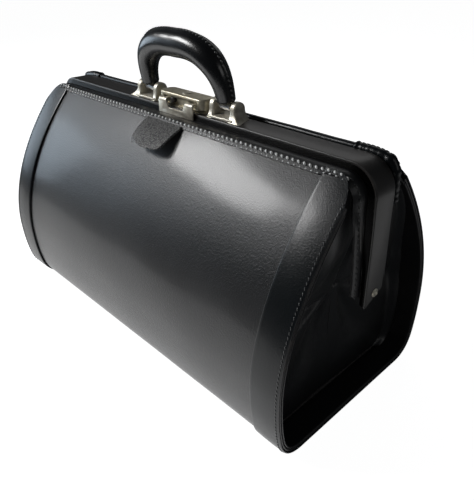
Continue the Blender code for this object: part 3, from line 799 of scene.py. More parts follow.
def on_body(side, x, length, depth=0.0):
    """(point, outward normal) on the leather body, at a depth below its rim's surface."""
    length += top_trim(x) * (1 - smooth(length / 0.07))
    point, normal = SECTION.at(length)
    outward = Vector((0, side * normal.x, normal.y))
    return Vector((x, side * point.x, point.y)) - outward * depth, outward


def stations(start=0.0, step=0.0030):
    """Even lengths along the half section."""
    count = int((SECTION.total - start) / step)
    return spread(start, SECTION.total, count)


def layer_profile(x_low, x_high, skin, columns):
    """Closed (x, depth) outline of one leather layer, its long edges rounded."""
    outer, inner = skin
    radius = (inner - outer) / 2
    middle = (outer + inner) / 2
    xs = spread(x_low + radius, x_high - radius, columns)
    right = [(a, b) for a, b in arc((xs[-1], middle), radius, -90, 90, 6)][1:-1]
    left = [(a, b) for a, b in arc((xs[0], middle), radius, 90, 270, 6)][1:-1]
    return [(x, outer) for x in xs] + right + [(x, inner) for x in reversed(xs)] + left


def wrapped(name, side, profile, *materials, swell=None, edges=None, start=0.0, step=0.0030):
    """Sweeps a closed (x, depth) profile round half of the body; swell(x, length) stands proud of it."""
    rings = []
    for length in stations(start, step):
        ring = []
        for x, depth in profile:
            extra = swell(x, length) if swell else 0.0
            ring.append(on_body(side, x, length, depth - extra)[0])
        rings.append(ring)
    return loft(name, rings, *materials, edges=edges)


# ---- leather body ------------------------------------------------------------------------------------


def panel_swell(x, length):
    """Soft fullness of the panel between the bands, with the slight unevenness of hand-lasted leather."""
    share = max(0.0, 1 - (x / BAND_INNER) ** 2)
    belly = 0.0009 * share * math.sin(math.pi * min(length / 0.25, 1.0))
    uneven = 0.0005 * noise.noise(Vector((x * 14, length * 16, 3.0))) * smooth(share * 3)
    return belly + uneven * smooth(length / 0.03)


def band_swell(x, length):
    """The bands are a little domed over their stiffening, and flat under the base."""
    share = (abs(x) - BAND_INNER) / (RIM - BAND_INNER)
    side = 1 - smooth((length - SECTION.total + 0.105) / 0.030)
    return 0.0005 * side * math.sin(math.pi * min(max(share, 0.0), 1.0))


def on_rim(place):
    return abs(place.x) > RIM - 0.0011


def make_body_leather():
    """Panel, side bands, rim facings and lining, each a front and a back half that meet under the base."""
    for side, half in HALVES:
        frame_body = f"{half}_frame"
        profile = layer_profile(-RIM + 0.0004, RIM - 0.0004, PANEL_SKIN, 84)
        panel = wrapped(
            f"{half}_panel", side, profile, BODY_CALF, EDGE_PAINT, swell=panel_swell, edges=on_rim
        )
        settle(panel, bends=frame_body, nodes=("body_panel",))
        for end, name in SIDES:
            xs = sorted((end * BAND_INNER, end * RIM))
            band = wrapped(
                f"{half}_band_{name}",
                side,
                layer_profile(*xs, BAND_SKIN, 14),
                TRIM_CALF,
                EDGE_PAINT,
                swell=band_swell,
                edges=on_rim,
            )
            settle(band, bends=frame_body, nodes=(f"side_band_{name}",))
            xs = sorted((end * (RIM - 0.0225), end * (RIM - 0.0004)))
            facing = wrapped(
                f"{half}_facing_{name}",
                side,
                layer_profile(*xs, FACING_SKIN, 8),
                BINDING_CALF,
                EDGE_PAINT,
                edges=on_rim,
                start=0.004,
            )
            settle(facing, bends=frame_body, nodes=(f"rim_facing_{name}",))
        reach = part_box("lining")[1].x
        profile = layer_profile(-reach, reach, LINING_SKIN, 30)
        lining = wrapped(f"{half}_lining", side, profile, LINING_CLOTH, start=0.008)
        settle(lining, bends=frame_body, nodes=("lining",))


def make_pocket():
    """Slip pocket sewn to the back lining, following the back panel's curve."""
    low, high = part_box("inner_pocket")
    grid = []
    for z in spread(low.z, high.z, 28):
        depth = LINING_SKIN[1] + 0.0006
        grid.append([Vector((x, SECTION.width_at(z, depth), z)) for x in spread(low.x, high.x, 40)])
    pocket = slab("inner_slip_pocket", grid, 0.0018, lambda p: Vector((0, -1, 0)), LINING_CLOTH)
    settle(pocket, bends="back_frame", nodes=("inner_pocket",))


def band_row(side, x, start, end):
    """A line of stitches on a side band, from the mouth down round the base."""
    count = 150
    row = []
    for length in spread(start, end, count):
        point, normal = on_body(side, x, length, -0.0002 - band_swell(x, length))
        row.append((point, normal))
    return row


def make_band_stitches():
    for side, half in HALVES:
        rows = []
        for end, _ in SIDES:
            rows.append(band_row(side, end * (RIM - 0.0030), 0.006, SECTION.total - 0.082))
        sewn = stitches(f"{half}_band_stitches", rows, 0.0036, 0.0025, 0.0008, 24, BAND_THREAD)
        settle(sewn, bends=f"{half}_frame")


# ---- soft end walls ----------------------------------------------------------------------------------


def gusset_x(across, y, z, edge):
    """Distance of the end wall inside the rim, at a share across its half width and a height."""
    rise = smooth((z - 0.105) / 0.085)
    back = mix(0.0250, 0.0105, rise)
    dish = 0.0085 * math.cos(across * math.pi / 2) ** 0.8 * hump(z, 0.070, 0.085)
    lobe = 0.0065 * hump(y, mix(0.030, 0.045, smooth((0.17 - z) / 0.06)), 0.026) * hump(z, 0.150, 0.050)
    turn = 0.0050 * smooth((abs(across) - 0.90) / 0.10)
    reach = math.hypot(y - 0.012, z - 0.110)
    angle = math.degrees(math.atan2(0.110 - z, max(y - 0.004, 1e-4)))
    fan = sum(depth * hump(angle, at, wide) for at, wide, depth in ((20, 16, 0.0046), (62, 18, 0.0034)))
    creases = fan * smooth(reach / 0.025) * (1 - smooth((reach - 0.050) / 0.055))
    centre = 0.0030 * hump(y, 0.0, 0.006) * hump(z, 0.150, 0.075)
    sag = 0.0016 * noise.noise(Vector((y * 22, z * 18, 5.0 + edge)))
    return back + dish - lobe - turn + creases + centre + sag * smooth(reach / 0.03)


def make_gussets():
    """End walls in a front and a back half, and the pleat folded behind them."""
    rows = 96
    columns = 44
    for end, name in SIDES:
        for side, half in HALVES:
            grid = []
            for i in range(rows + 1):
                z = mix(0.0062, 0.2095, i / rows)
                width = SECTION.width_at(z, GUSSET_DEPTH)
                row = []
                for j in range(columns + 1):
                    across = j / columns
                    y = across * width
                    inside = gusset_x(across, y, z, 0.0 if side < 0 else 7.0)
                    row.append(Vector((end * (RIM - inside), side * y, z)))
                grid.append(row)
            wall = slab(f"{half}_gusset_{name}", grid, 0.0014, lambda p: Vector((-p.x, 0, 0)), GUSSET_LEATHER)
            settle(wall, bends=f"{half}_frame", nodes=(f"gusset_{name}",))
        grid = []
        for i in range(31):
            z = mix(0.060, 0.2040, i / 30)
            width = min(SECTION.width_at(z, 0.012), 0.060)
            row = []
            for j in range(25):
                across = mix(-1, 1, j / 24)
                ripple = 0.0016 * math.cos(across * math.pi * 3)
                inside = gusset_x(0.0, 0.010, z, 0.0) + 0.0062 + ripple
                row.append(Vector((end * (RIM - inside), across * width, z)))
            grid.append(row)
        pleat = slab(f"gusset_pleat_{name}", grid, 0.0012, lambda p: Vector((-p.x, 0, 0)), GUSSET_LEATHER)
        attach(pleat, "body")
        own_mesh(pleat)


# ---- mouth frames ------------------------------------------------------------------------------------


def u_path(half, top, radius, bottom, step=0.003):
    """Points (x, z) and outward normals of an upside-down U, from the right leg's end to the left one's."""
    centre = (half - radius, top - radius)
    leg = [((half, z), (1.0, 0.0)) for z in spread(bottom, centre[1], int((centre[1] - bottom) / step))]
    bend = []
    for degrees in spread(0, 90, 14)[1:-1]:
        a = math.radians(degrees)
        place = (centre[0] + radius * math.cos(a), centre[1] + radius * math.sin(a))
        bend.append((place, (math.cos(a), math.sin(a))))
    run = [((x, top), (0.0, 1.0)) for x in spread(centre[0], 0.0, 24)]
    right = leg + bend + run
    left = [((-x, z), (-nx, nz)) for (x, z), (nx, nz) in reversed(right[:-1])]
    return right + left


def frame_strip(name, half, top, radius, bottom, steel, edges_at, slant, crown, finish):
    """A U of steel strip: edges_at(z) gives its front and back edge (Y), slant skews the leg ends."""
    rings = []
    for (x, z), (nx, nz) in u_path(half, top, radius, bottom):
        front, back = edges_at(z)
        deep = steel / 2
        outline = []
        for sy, sd, start in ((1, 1, 0), (-1, 1, 90), (-1, -1, 180), (1, -1, 270)):
            edge = back if sy > 0 else front
            rim = deep * 0.72
            turn = arc((0, 0), rim, start, start + 90, 4)
            outline += [(edge - sy * rim + a, sd * (deep - rim) + b) for a, b in turn]
        middle = (front + back) / 2
        span = (back - front) / 2
        ring = []
        for y, rise in outline:
            lift = rise - deep + crown * (1 - ((y - middle) / span) ** 2)
            skew = slant * (y - middle) * (1 - smooth((z - bottom) / 0.016)) if z < bottom + 0.016 else 0.0
            ring.append(Vector((x + nx * lift, y, z + nz * lift + skew)))
        rings.append(ring)
    return loft(name, rings, finish)


def make_flange():
    """Front lip of the back frame: a glossy black face round the mouth, set under the plate's front edge, its
    enamel darkened as painted shade.
    """
    rings = []
    for (x, z), (nx, nz) in u_path(STRIP_HIGH.x, STRIP_HIGH.z, 0.024, PIVOT_Z - 0.0080):
        leg = smooth((0.200 - z) / 0.09)
        inner = mix(FLANGE, 0.0048, leg)
        lean = mix(-0.0018, 0.0010, leg)
        outline = [(-0.0116, 0.0014), (-0.0120, 0.0022)]
        outline += [(-0.0120 + lean, inner), (-0.0112 + lean, inner + 0.0003)]
        outline += [(-0.0100, inner - 0.0006), (-0.0096, 0.0020), (-0.0098, 0.0014)]
        rings.append([Vector((x - nx * depth, y, z - nz * depth)) for y, depth in outline])
    flange = loft("back_flange", rings, SHADED_FLANGE_ENAMEL)
    settle(flange, body="back_frame")


def make_frames():
    low, high = STRIP_LOW, STRIP_HIGH

    def strip_edges(z):
        return mix(low.y, low.y + 0.0012, smooth((0.205 - z) / 0.05)), high.y

    strip = frame_strip(
        "back_frame", high.x, high.z, 0.024, PIVOT_Z - 0.0045, 0.0030, strip_edges, 0.47, 0.0003, ENAMEL
    )
    settle(strip, body="back_frame", nodes=("back_frame_strip",))

    def rail_edges(z):
        share = smooth((z - 0.110) / 0.090) if z < 0.2 else 1.0
        return mix(-0.0062, RAIL_LOW.y, share), RAIL_HIGH.y

    half, top, leg_end = RAIL_HIGH.x, RAIL_HIGH.z, PIVOT_Z - 0.0040
    rail = frame_strip("front_frame", half, top, 0.0175, leg_end, 0.0025, rail_edges, 0.30, 0.0, ENAMEL)
    settle(rail, body="front_frame", nodes=("front_frame_rail",))


def binding_profile(x, z, share):
    """(y, offset outwards, share down the leg) of the front binding's face.

    share runs across it from the frame.
    """
    down = smooth((0.2015 - z) / 0.030)
    drop = mix(-0.0042, -0.0020, smooth((abs(x) - 0.176) / 0.006))
    top = ((-0.0138, 0.0), (-0.0180, 0.0005), (-0.0215, 0.0005), (-0.0240, -0.0002), (-0.0260, drop * 0.5))
    top += ((-0.0280, drop),)
    slide = mix(0.0016, -0.0030, smooth((z - 0.120) / 0.075))
    leg = ((-0.0118, 0.0002), (-0.0130, -0.0004), (-0.0142, -0.0014), (-0.0152, -0.0026), (-0.0160, -0.0041))
    leg += ((-0.0163, -0.0058),)
    place = share * 5
    i = min(int(place), 4)
    part = place - i
    y = mix(mix(top[i][0], top[i + 1][0], part), mix(leg[i][0], leg[i + 1][0], part) + slide, down)
    out = mix(mix(top[i][1], top[i + 1][1], part), mix(leg[i][1], leg[i + 1][1], part), down)
    return y, out, down


def binding_place(place, normal, share, lift=0.0):
    """Point on the front binding at a station of the mouth's U, and the direction it faces."""
    (x, z), (nx, nz) = place, normal
    ends = []
    for near in (max(share - 0.05, 0.0), share, min(share + 0.05, 1.0)):
        y, out, _ = binding_profile(x, z, near)
        ends.append(Vector((x + nx * out, y, z + nz * out)))
    across = (ends[2] - ends[0]).normalized()
    along = Vector((-nz, 0, nx))
    facing = across.cross(along).normalized()
    if facing.dot(Vector((nx, -1, nz))) < 0:
        facing = -facing
    return ends[1] + facing * lift, facing


def make_front_binding():
    """Leather strip folded over the panel's top edge and down the front legs, with its heavy stitching."""
    stations_round = u_path(0.2100, 0.2190, 0.0180, 0.117, 0.0025)
    rings = []
    for place, normal in stations_round:
        outer = [binding_place(place, normal, share) for share in spread(0, 1, 20)]
        ring = [point for point, _ in outer]
        ring += [point - facing * 0.0016 for point, facing in reversed(outer)]
        rings.append(ring)
    binding = loft("front_binding", rings, BINDING_CALF)
    settle(binding, body="front_frame", nodes=("front_binding",))
    top = [s for s in stations_round if s[0][1] > 0.2165]
    upper = [binding_place(*s, 0.70, 0.0005) for s in top]
    lower = [binding_place(*s, 0.93, 0.0001) for s in top]
    heavy = stitches("mouth_stitches", [upper], 0.0054, 0.0036, 0.0021, -34, THREAD)
    light = stitches("mouth_stitch_ends", [lower[1:]], 0.0054, 0.0019, 0.0012, 20, THREAD)
    legs = []
    half = len(stations_round) // 2
    for part in (stations_round[:half], stations_round[half:]):
        low = [s for s in part if s[0][1] < 0.2165]
        legs.append([binding_place(*s, 0.52, 0.0002) for s in low])
    down = stitches("leg_stitches", legs, 0.0052, 0.0034, 0.0011, 16, BLACK_THREAD)
    sewn = joined("binding_stitches", [heavy, light, down])
    settle(sewn, body="front_frame")


def make_back_edge():
    """Rolled welt behind the plate, its corner wraps, the turned-over panel edge and the piping."""
    welt_y, welt_z, welt_half, radius = 0.0166, 0.2238, 0.2120, 0.0220
    flap = strap(
        "back_turnover",
        [Vector((x, 0.0178, 0.2214)) for x in spread(-0.192, 0.192, 60)],
        lambda i: Vector((0, 0.22, 1)),
        lambda t: 0.0125,
        lambda t: 0.0014,
        BINDING_CALF,
    )
    settle(flap, body="back_frame")
    xs = spread(-0.1790, 0.1790, 100)
    line = [Vector((x, welt_y, welt_z + 0.00025 * noise.noise(Vector((x * 30, 0, 0))))) for x in xs]
    swell = [1.0 + 0.05 * noise.noise(Vector((x * 60, 4, 0))) for x in xs]
    welt = rolled("back_welt", [line], [swell], 0.0031, TRIM_CALF)
    settle(welt, body="back_frame", nodes=("back_welt",))
    for end, name in SIDES:
        centre = (welt_half - radius, welt_z - radius)
        flat = [(x, welt_z) for x in spread(0.1765, centre[0], 16)]
        bend = arc(centre, radius, 90, 0, 30)[1:]
        down = [(welt_half, z) for z in spread(centre[1], 0.190, 10)][1:]
        line = []
        for x, z in flat + bend + down:
            out = 0.0030 * hump(math.hypot(x - 0.2060, z - 0.2180), 0, 0.016)
            line.append(Vector((end * (x + out), welt_y, z + out * 0.6)))
        count = len(line) - 1
        swell = []
        for i in range(count + 1):
            ends = min(i, count - i)
            collar = 0.16 * hump(ends, 2, 2.2)
            knot = 0.20 * hump(i, 29, 3.0) + 0.12 * hump(i, 36, 2.5)
            lumps = 0.10 * noise.noise(Vector((i * 0.45, end, 1)))
            swell.append((0.80 if ends == 0 else 1.0 + collar) + knot + lumps)
        wrap = rolled(f"corner_wrap_{name}", [line], [swell], 0.0042, TRIM_CALF)
        settle(wrap, body="back_frame", nodes=(f"corner_wrap_{name}",))
        row = []
        outward = [Vector((0, 0.55, 1)) if i < 26 else Vector((end, 0.5, 0.4)) for i in range(len(line))]
        for point, (_, normal, _) in zip(line, frames_along(line, lambda i: outward[i])):
            row.append((point + normal * 0.0043, normal))
        sewn = stitches(f"corner_stitches_{name}", [row[2:-2]], 0.0040, 0.0030, 0.0006, 24, BLACK_THREAD)
        settle(sewn, body="back_frame")
        low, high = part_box(f"back_piping_{name}")
        xs = (high.x - 0.0017, low.x + 0.0017) if end > 0 else (low.x + 0.0017, high.x - 0.0017)
        piping = [Vector((mix(xs[1], xs[0], t), 0.0147, mix(0.190, 0.128, t))) for t in spread(0, 1, 16)]
        taper = [1.15 - 0.35 * t for t in spread(0, 1, 16)]
        thin = rolled(f"leg_piping_{name}", [piping], [taper], 0.0016, TRIM_CALF, 12)
        settle(thin, body="back_frame", nodes=(f"back_piping_{name}",))


def make_pivot_rivets():
    """Domed rivets with a flat ring round the dome."""
    profile = [(0.0, 0.0019), (0.0009, 0.00185), (0.0018, 0.0015)]
    profile += [(0.0025, 0.0009), (0.0028, 0.0005), (0.0034, 0.0005)]
    profile += [(0.0037, 0.0002), (0.0037, -0.0003), (0.0, -0.0003)]
    for end, name in SIDES:
        rings = []
        for i in range(len(profile)):
            radius, height = profile[i]
            radius = max(radius, 0.00002)
            ring = []
            for degrees in range(0, 360, 15):
                a = math.radians(degrees)
                y, z = radius * math.cos(a), radius * math.sin(a)
                ring.append(Vector((end * (STRIP_HIGH.x + 0.0003 + height), y + 0.0012, PIVOT_Z + z)))
            rings.append(ring)
        head = loft(f"pivot_rivet_head_{name}", rings, NICKEL)
        low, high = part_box(f"pivot_rivet_{name}")
        inner = max(abs(low.x), abs(high.x)) - 0.0108
        shank = []
        for x in (inner, STRIP_HIGH.x + 0.0004):
            shank.append([Vector((end * x, 0.0020 * math.cos(a), PIVOT_Z + 0.0020 * math.sin(a))) for a in (
                math.radians(d) for d in range(0, 360, 30))])
        stem = loft(f"pivot_rivet_stem_{name}", shank, STEEL)
        rivet = joined(f"pivot_rivet_{name}_domed", [head, stem])
        settle(rivet, body="body", nodes=(f"pivot_rivet_{name}",))


# ---- handle ------------------------------------------------------------------------------------------

HANDLE_LEAN = math.radians(9.4)
SEAM_TURN = 8  # degrees the seam's stitches sit in front of the outermost line


def handle_line(low, count=130):
    """Centreline of the arched handle, right foot to left foot, evenly spaced, leaning forward at rest."""
    start = Vector((BRACKET_X, 0, 0.2375))
    rise = start + Vector((0.0020, 0, 0.0486))
    top = Vector((0, 0, 0.2818))
    bend = interpolate_bezier(start, rise, Vector((0.0109, 0, top.z)), top, 40)
    right = [Vector((BRACKET_X, 0, low))] + [p for p in bend if p.z > low + 0.0005]
    path = right + [Vector((-p.x, 0, p.z)) for p in reversed(right[:-1])]
    pin = Vector((0, 0, PIN_Z))
    lean = Matrix.Rotation(HANDLE_LEAN, 3, "X")
    return evened([pin + lean @ (p - pin) for p in path], count)


def evened(points, count):
    """Points spaced evenly along a polyline."""
    lengths = [0.0]
    for a, b in zip(points, points[1:]):
        lengths.append(lengths[-1] + (b - a).length)
    made = []
    k = 0
    for target in spread(0.0, lengths[-1], count):
        while k < len(points) - 2 and lengths[k + 1] < target:
            k += 1
        share = (target - lengths[k]) / max(lengths[k + 1] - lengths[k], 1e-9)
        made.append(points[k].lerp(points[k + 1], min(share, 1.0)))
    return made


def grip_size(share):
    """Half width in the handle's plane and across it, along its length."""
    near_foot = min(share, 1 - share) * 2
    full = smooth(near_foot / 0.55)
    end = mix(0.84, 1.0, smooth(near_foot / 0.03))
    return mix(0.0086, 0.0119, full) * end, mix(0.0082, 0.0117, full) * end


def make_handle():
    """Leather grip rolled over its core, closed by a raised seam along the outer side."""
    line = handle_line(PIN_Z + 0.0036)
    middle = Vector((0, -0.006, PIN_Z + 0.008))
    turns = frames_along(line, lambda i: line[i] - middle)
    rings = []
    for i, (_, normal, side) in enumerate(turns):
        in_plane, across = grip_size(i / (len(line) - 1))
        ring = []
        for degrees in range(0, 360, 8):
            a = math.radians(degrees)
            gap = abs(degrees - 90)
            ridge = 0.0009 * hump(gap, 0, 16) - 0.0005 * hump(gap, 20, 8)
            ring.append(
                line[i] + side * (across + ridge) * math.cos(a) + normal * (in_plane + ridge) * math.sin(a)
            )
        rings.append(ring)
    grip = loft("handle_grip_leather", rings, HANDLE_CALF)
    settle(grip, body="handle", nodes=("handle_grip",))
    row = []
    for i, (_, normal, side) in enumerate(turns):
        in_plane, across = grip_size(i / (len(line) - 1))
        a = math.radians(90 + SEAM_TURN)
        flank = side * across * math.cos(a) + normal * (in_plane + 0.0006) * math.sin(a)
        row.append((line[i] + flank, flank.normalized()))
    sewn = stitches("handle_stitches", [row[3:-3]], 0.0040, 0.0030, 0.0014, 34, BAND_THREAD)
    settle(sewn, body="handle")
    tongues = []
    for end, _ in SIDES:
        eye = prism(f"eye_{end}", arc((0, PIN_Z), 0.0034, 0, 345, 23), "YZ", -0.0060, 0.0060, STEEL)
        eye.data.transform(Matrix.Translation((end * BRACKET_X, 0, 0)))
        stem = prism(f"stem_{end}", capsule(0.0052, 0.0022, 0.0020, 4), "XY", PIN_Z, PIN_Z + 0.0140, STEEL)
        stem.data.transform(Matrix.Translation((end * BRACKET_X, 0, 0)))
        tongues += [eye, stem]
    core = joined("handle_tongues", tongues)
    settle(core, body="handle", nodes=("handle_core",))


def ear_ring(z, inner, outer, front, back, corner):
    """Rounded outline of an ear at one height; inner and outer are X from the bracket's centre."""
    middle = Vector(((inner + outer) / 2, (front + back) / 2))
    ring = []
    for a, b in capsule((outer - inner) / 2, (back - front) / 2, corner, 5):
        ring.append(Vector((middle.x + a, middle.y + b, z)))
    return ring


def make_ear(name, flare):
    """A cast ear, round at the top, its foot spread outwards by flare; built at the right of the bracket."""
    floor = BRACKET_LOW.z
    inner, outer, half = 0.0100, 0.0162, 0.0068
    rings = []
    for share in spread(0, 1, 12):
        z = mix(floor, PIN_Z - 0.0005, share)
        spread_out = (1 - share) ** 2.2
        front = -half - 0.0036 * spread_out
        back = half + 0.0026 * spread_out
        far = outer + flare * spread_out
        ring = ear_ring(z, inner, far, front, back, 0.0016)
        for point in ring:
            if flare and point.x > outer:
                point.x -= (point.x - outer) * 0.75 * smooth((point.y + 0.002) / 0.010)
        rings.append(ring)
    for degrees in spread(8, 84, 9):
        a = math.radians(degrees)
        depth = half * math.cos(a)
        squeeze = 0.0012 * smooth((degrees - 50) / 40)
        rings.append(
            ear_ring(
                PIN_Z - 0.0005 + half * math.sin(a),
                inner + squeeze,
                outer - squeeze,
                -depth,
                depth,
                min(0.0016, depth * 0.9),
            )
        )
    return loft(name, rings, NICKEL)


def make_brackets():
    for end, name in SIDES:
        low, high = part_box(f"handle_bracket_{name}")
        pieces = []
        for away in (1, -1):
            ear = make_ear(f"ear_{name}_{away}", 0.0085 if away > 0 else 0.0)
            ear.data.transform(Matrix.Scale(end * away, 4, (1, 0, 0)))
            ear.data.transform(Matrix.Translation((end * BRACKET_X, 0, 0)))
            if end * away < 0:
                ear.data.flip_normals()
            pieces.append(ear)
        inner = end * (BRACKET_X - 0.0150)
        outer = end * (BRACKET_X + 0.0160)
        xs = sorted((inner, outer))
        outline = [(xs[0], -0.0102), (xs[1], -0.0102), (xs[1], 0.0092), (xs[0], 0.0092)]
        base = prism(f"base_{name}", outline, "XY", low.z, low.z + 0.0022, NICKEL)
        pieces.append(rounded(base, 0.0006, 3))
        pin = prism(f"pin_{name}", arc((0, PIN_Z), 0.0016, 0, 345, 23), "YZ", -0.0110, 0.0110, NICKEL)
        pin.data.transform(Matrix.Translation((end * BRACKET_X, 0, 0)))
        pieces.append(pin)
        bracket = joined(f"bracket_{name}", pieces)
        nodes = (f"handle_bracket_{name}", f"handle_pin_{name}")
        settle(bracket, body="back_frame", nodes=nodes)


# ---- lock --------------------------------------------------------------------------------------------


def capsule(half_x, half_y, radius, steps=8):
    """Outline in X and Y of a box with rounded corners."""
    points = []
    for sx, sy, start in ((1, 1, 0), (-1, 1, 90), (-1, -1, 180), (1, -1, 270)):
        centre = (sx * (half_x - radius), sy * (half_y - radius))
        points += arc(centre, radius, start, start + 90, steps)
    return points


def make_lock_case():
    """Rounded case with a scooped window for the slide button and two slots for the claws."""
    half_x, half_y = CASE_HIGH.x, CASE_HIGH.y
    outline = capsule(half_x, half_y, 0.0062)
    case = prism("lock_case_body", outline, "XY", CASE_LOW.z, CASE_HIGH.z, CASE_NICKEL)
    case = rounded(case, 0.0014, 4)
    window = prism("window", capsule(0.0118, 0.0036, 0.0028), "XY", 0, 0.0060, CASE_NICKEL)
    upright = Matrix.Rotation(math.radians(90), 4, "X")
    window.data.transform(Matrix.Translation((0.0004, -0.0072, 0.2296)) @ upright)
    cutters = [window]
    for side in (-1, 1):
        x = side * 0.0185
        outline = [(x - 0.0047, -0.0125), (x + 0.0047, -0.0125), (x + 0.0047, -0.0069), (x - 0.0047, -0.0069)]
        cutters.append(prism("slot", outline, "XY", 0.2266, 0.2336, CASE_NICKEL))
    key = prism("bore", capsule(0.0045, 0.0045, 0.0044, 10), "XY", 0.2325, 0.240, CASE_NICKEL)
    case = combined(case, "DIFFERENCE", *cutters, key)
    case.data.set_sharp_from_angle(angle=math.radians(35))
    settle(case, body="back_frame", nodes=("lock_case",))


def make_key_cylinder():
    """Round plug with a keyway, flush in the case's top."""
    low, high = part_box("key_cylinder")
    plug = prism("key_plug", capsule(high.x, high.x, high.x * 0.999, 10), "XY", low.z, high.z, NICKEL)
    plug = rounded(plug, 0.0004, 3)
    keyway = prism("keyway", capsule(0.0005, 0.0026, 0.0004, 3), "XY", high.z - 0.003, high.z + 0.001, NICKEL)
    plug = combined(plug, "DIFFERENCE", keyway)
    plug.data.set_sharp_from_angle(angle=math.radians(35))
    settle(plug, body="key_cylinder", nodes=("key_cylinder",))


def make_slide_button():
    low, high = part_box("lock_slide")
    middle = (low + high) / 2
    profile = [(0.0, 0.0), (0.0022, 0.0), (0.0026, 0.0004), (0.0026, 0.0034), (0.0, 0.0038)]
    rings = []
    for radius, depth in profile:
        ring = []
        for degrees in range(0, 360, 15):
            a = math.radians(degrees)
            r = max(radius, 0.00002)
            x, z = middle.x + r * math.cos(a), middle.z + r * math.sin(a) * 0.9
            ring.append(Vector((x, -0.0108 + depth, z)))
        rings.append(ring)
    button = loft("slide_button", rings, BUTTON)
    settle(button, body="lock_slider", nodes=("lock_slide",))


def make_hasp():
    """Front plate of the lock: a bar with two broad claws that curl back over their tips."""
    face_y, steel = -0.0150, 0.0017
    bottom, bar_top, top = 0.2186, 0.2246, 0.2304
    half, gap = HASP_HIGH.x + 0.0008, 0.0118
    corner = 0.0036
    right = [(half - 0.0006, bottom), (half, bottom + 0.0006), (half, top)]
    right += [(gap + 0.0012, top), (gap, top - 0.0020)]
    right += arc((gap - corner, bar_top + corner), corner, 0, -90, 6)
    outline = right + [(-x, z) for x, z in reversed(right)]
    plate = prism("hasp_bar", outline, "XZ", face_y, face_y + steel, NICKEL)
    pieces = [rounded(plate, 0.0005, 3, 35)]
    broad = half - gap - 0.0016
    for side in (-1, 1):
        path = [(face_y + steel / 2, top - 0.0006)]
        path += arc((face_y + 0.0030, top - 0.0004), 0.0022, 180, 70, 8)
        path += [(-0.0094, top + 0.0008), (-0.0084, top + 0.0002)]
        middle = side * (half + gap + 0.0012) / 2
        line = [Vector((middle, y, z)) for y, z in path]
        claw = strap(
            f"claw_{side}",
            line,
            lambda i: Vector((0, -1, 1)),
            lambda t: broad - 0.0012 * smooth((t - 0.6) / 0.4),
            lambda t: steel,
            NICKEL,
            corners=3,
        )
        pieces.append(claw)
    hasp = joined("hasp_plate", pieces)
    settle(hasp, body="front_frame", nodes=("hasp", "hasp_rivet_left", "hasp_rivet_right"))


def make_pull_tab():
    """Grained leather tab, lifted off the panel and curled over its width, with a creased border."""
    long = 0.0310
    rows, columns = 36, 44
    grid = []
    y, z = TAB_ROOT.y + 0.0035, TAB_ROOT.z + 0.0006
    for i in range(rows + 1):
        t = i / rows
        lean = math.radians(mix(24, 36, smooth(t)))
        half = mix(0.0246, 0.0212, smooth(t))
        past = max(0.0, (t - 0.72) / 0.28)
        half = half - 0.0080 * (1 - math.sqrt(max(1 - past**2, 0.0)))
        row = []
        for j in range(columns + 1):
            across = mix(-1, 1, j / columns)
            fold = 0.0030 * across * abs(across) * t
            bow = 0.0022 * (1 - across**2) * t
            sag = fold * 0.2 + abs(fold) * 0.4
            row.append(Vector((TAB_ROOT.x + across * half, y - bow, z - sag)))
        grid.append(row)
        y -= long / rows * math.cos(lean)
        z -= long / rows * math.sin(lean)
    tab = slab("pull_tab_leather", grid, 0.0019, lambda p: Vector((0, 0.5, -1)), TAB_LEATHER, EDGE_PAINT)
    settle(tab, body="pull_tab", nodes=("pull_tab",))


# ---- inside and small parts that keep their frame shape --------------------------------------------------


def finish_kept_nodes():
    """Materials for the small parts whose frame shape is already right."""
    finishes = {
        "lock_base": CASE_NICKEL,
        "lock_bolt": STEEL,
        "lock_spring": STEEL,
        "base_board": CARD_CLOTH,
        "lock_screw_left": STEEL,
        "lock_screw_right": STEEL,
    }
    for name in frame["nodes"]:
        if name.startswith("bracket_screw"):
            finishes[name] = STEEL
    for name, finish in finishes.items():
        node = frame["nodes"][name]
        node.data.materials.clear()
        node.data.materials.append(finish)
        node.data.set_sharp_from_angle(angle=math.radians(35))


# ---- studio ------------------------------------------------------------------------------------------


def make_camera():
    lens = bpy.data.cameras.new("camera")
    camera = bpy.data.objects.new("camera", lens)
    bpy.context.scene.collection.objects.link(camera)
    forward = Vector((-0.6154, 0.6162, -0.4916)).normalized()
    right = Vector((0.7093, 0.7049, -0.0045))
    right = (right - forward * right.dot(forward)).normalized()
    up = right.cross(forward)
    turn = Matrix((right, up, -forward)).transposed().to_4x4()
    camera.matrix_world = Matrix.Translation((0.3859, -0.3045, 0.3529)) @ turn
    lens.sensor_width = 36.0
    lens.lens = 37.7
    lens.shift_x = -0.0272
    lens.shift_y = -0.0126
    lens.clip_start = 0.01
    bpy.context.scene.camera = camera


def area_light(name, place, target, size, power, colour=(1, 1, 1)):
    light = bpy.data.lights.new(name, "AREA")
    light.shape = "RECTANGLE"
    light.size, light.size_y = size
    light.energy = power
    light.color = colour
    made = bpy.data.objects.new(name, light)
    bpy.context.scene.collection.objects.link(made)
    made.location = place
    made.rotation_mode = "QUATERNION"
    made.rotation_quaternion = (Vector(target) - Vector(place)).to_track_quat("-Z", "Y")
    return made


def card(name, place, target, size, radiance, colour=(1, 1, 1)):
    """A soft box of a given brightness, hidden from the camera but not from the leather's shine."""
    power = radiance * math.pi * size[0] * size[1]
    made = area_light(name, place, target, size, power, colour)
    made.visible_camera = False
    return made


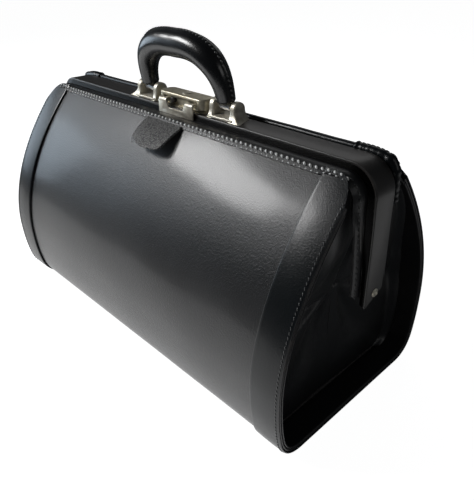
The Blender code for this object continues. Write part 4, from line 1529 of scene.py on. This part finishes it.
def make_studio():
    """The lights: a main soft box at the front left and dim cards that draw the highlights.

    The white floor is flat round the bag and curves up into a wall far off.
    """
    rings = []
    flat, bend, wall = 5.0, 4.0, 25.0
    curve = arc((flat, bend), bend, -80, 0, 12)
    for radius, height in [(0.01, 0.0), (flat, 0.0)] + curve + [(flat + bend, wall)]:
        turns = [math.radians(degrees) for degrees in range(0, 360, 5)]
        rings.append([Vector((radius * math.cos(a), radius * math.sin(a), height - 0.0010)) for a in turns])
    count = len(rings[0])
    faces = [tuple(range(count))]
    for i in range(len(rings) - 1):
        for j in range(count):
            k = (j + 1) % count
            faces.append((i * count + j, (i + 1) * count + j, (i + 1) * count + k, i * count + k))
    mesh = bpy.data.meshes.new("floor")
    mesh.from_pydata([tuple(p) for ring in rings for p in ring], [], faces)
    floor = bpy.data.objects.new("floor", mesh)
    bpy.context.scene.collection.objects.link(floor)
    white = bpy.data.materials.new("floor_white")
    white.use_nodes = True
    surface = white.node_tree.nodes["Principled BSDF"]
    surface.inputs["Base Color"].default_value = (0.50, 0.50, 0.50, 1)
    surface.inputs["Roughness"].default_value = 0.9
    surface.inputs["Specular IOR Level"].default_value = 0.0
    surface.inputs["Emission Color"].default_value = (1.0, 1.0, 1.0, 1)
    surface.inputs["Emission Strength"].default_value = 0.97
    floor.data.materials.append(white)
    floor.visible_glossy = False
    floor.visible_diffuse = False
    world = bpy.data.worlds.new("studio")
    bpy.context.scene.world = world
    world.use_nodes = True
    sky = world.node_tree.nodes["Background"]
    sky.inputs["Color"].default_value = (0.85, 0.93, 1.0, 1)
    sky.inputs["Strength"].default_value = 0.035
    card("softbox_front", (-0.84, -0.70, 0.945), (0.08, 0, 0.19), (0.54, 0.28), 20.0)
    card("card_left", (-1.55, -0.50, 0.42), (0, 0, 0.15), (0.70, 0.60), 3.4, (0.74, 0.87, 1.0))
    card("card_above", (-0.55, 0.95, 0.95), (0, 0, 0.2), (0.9, 0.5), 0.7)
    card("floor_glow", (-0.35, -0.30, 0.0), (-0.35, -0.30, 1.0), (1.40, 0.43), 1.0)
    card("floor_glow_end", (0.52, 0.30, 0.0), (0.52, 0.30, 1.0), (0.35, 0.50), 0.5)
    card("card_right", (1.30, 0.10, 0.80), (0.2, 0, 0.13), (0.5, 0.5), 0.9)
    bpy.context.scene.view_settings.view_transform = "Standard"


make_camera()
make_studio()
make_body_leather()
make_pocket()
make_band_stitches()
make_gussets()
make_frames()
make_flange()
make_front_binding()
make_back_edge()
make_pivot_rivets()
make_handle()
make_brackets()
make_lock_case()
make_key_cylinder()
make_slide_button()
make_hasp()
make_pull_tab()
finish_kept_nodes()
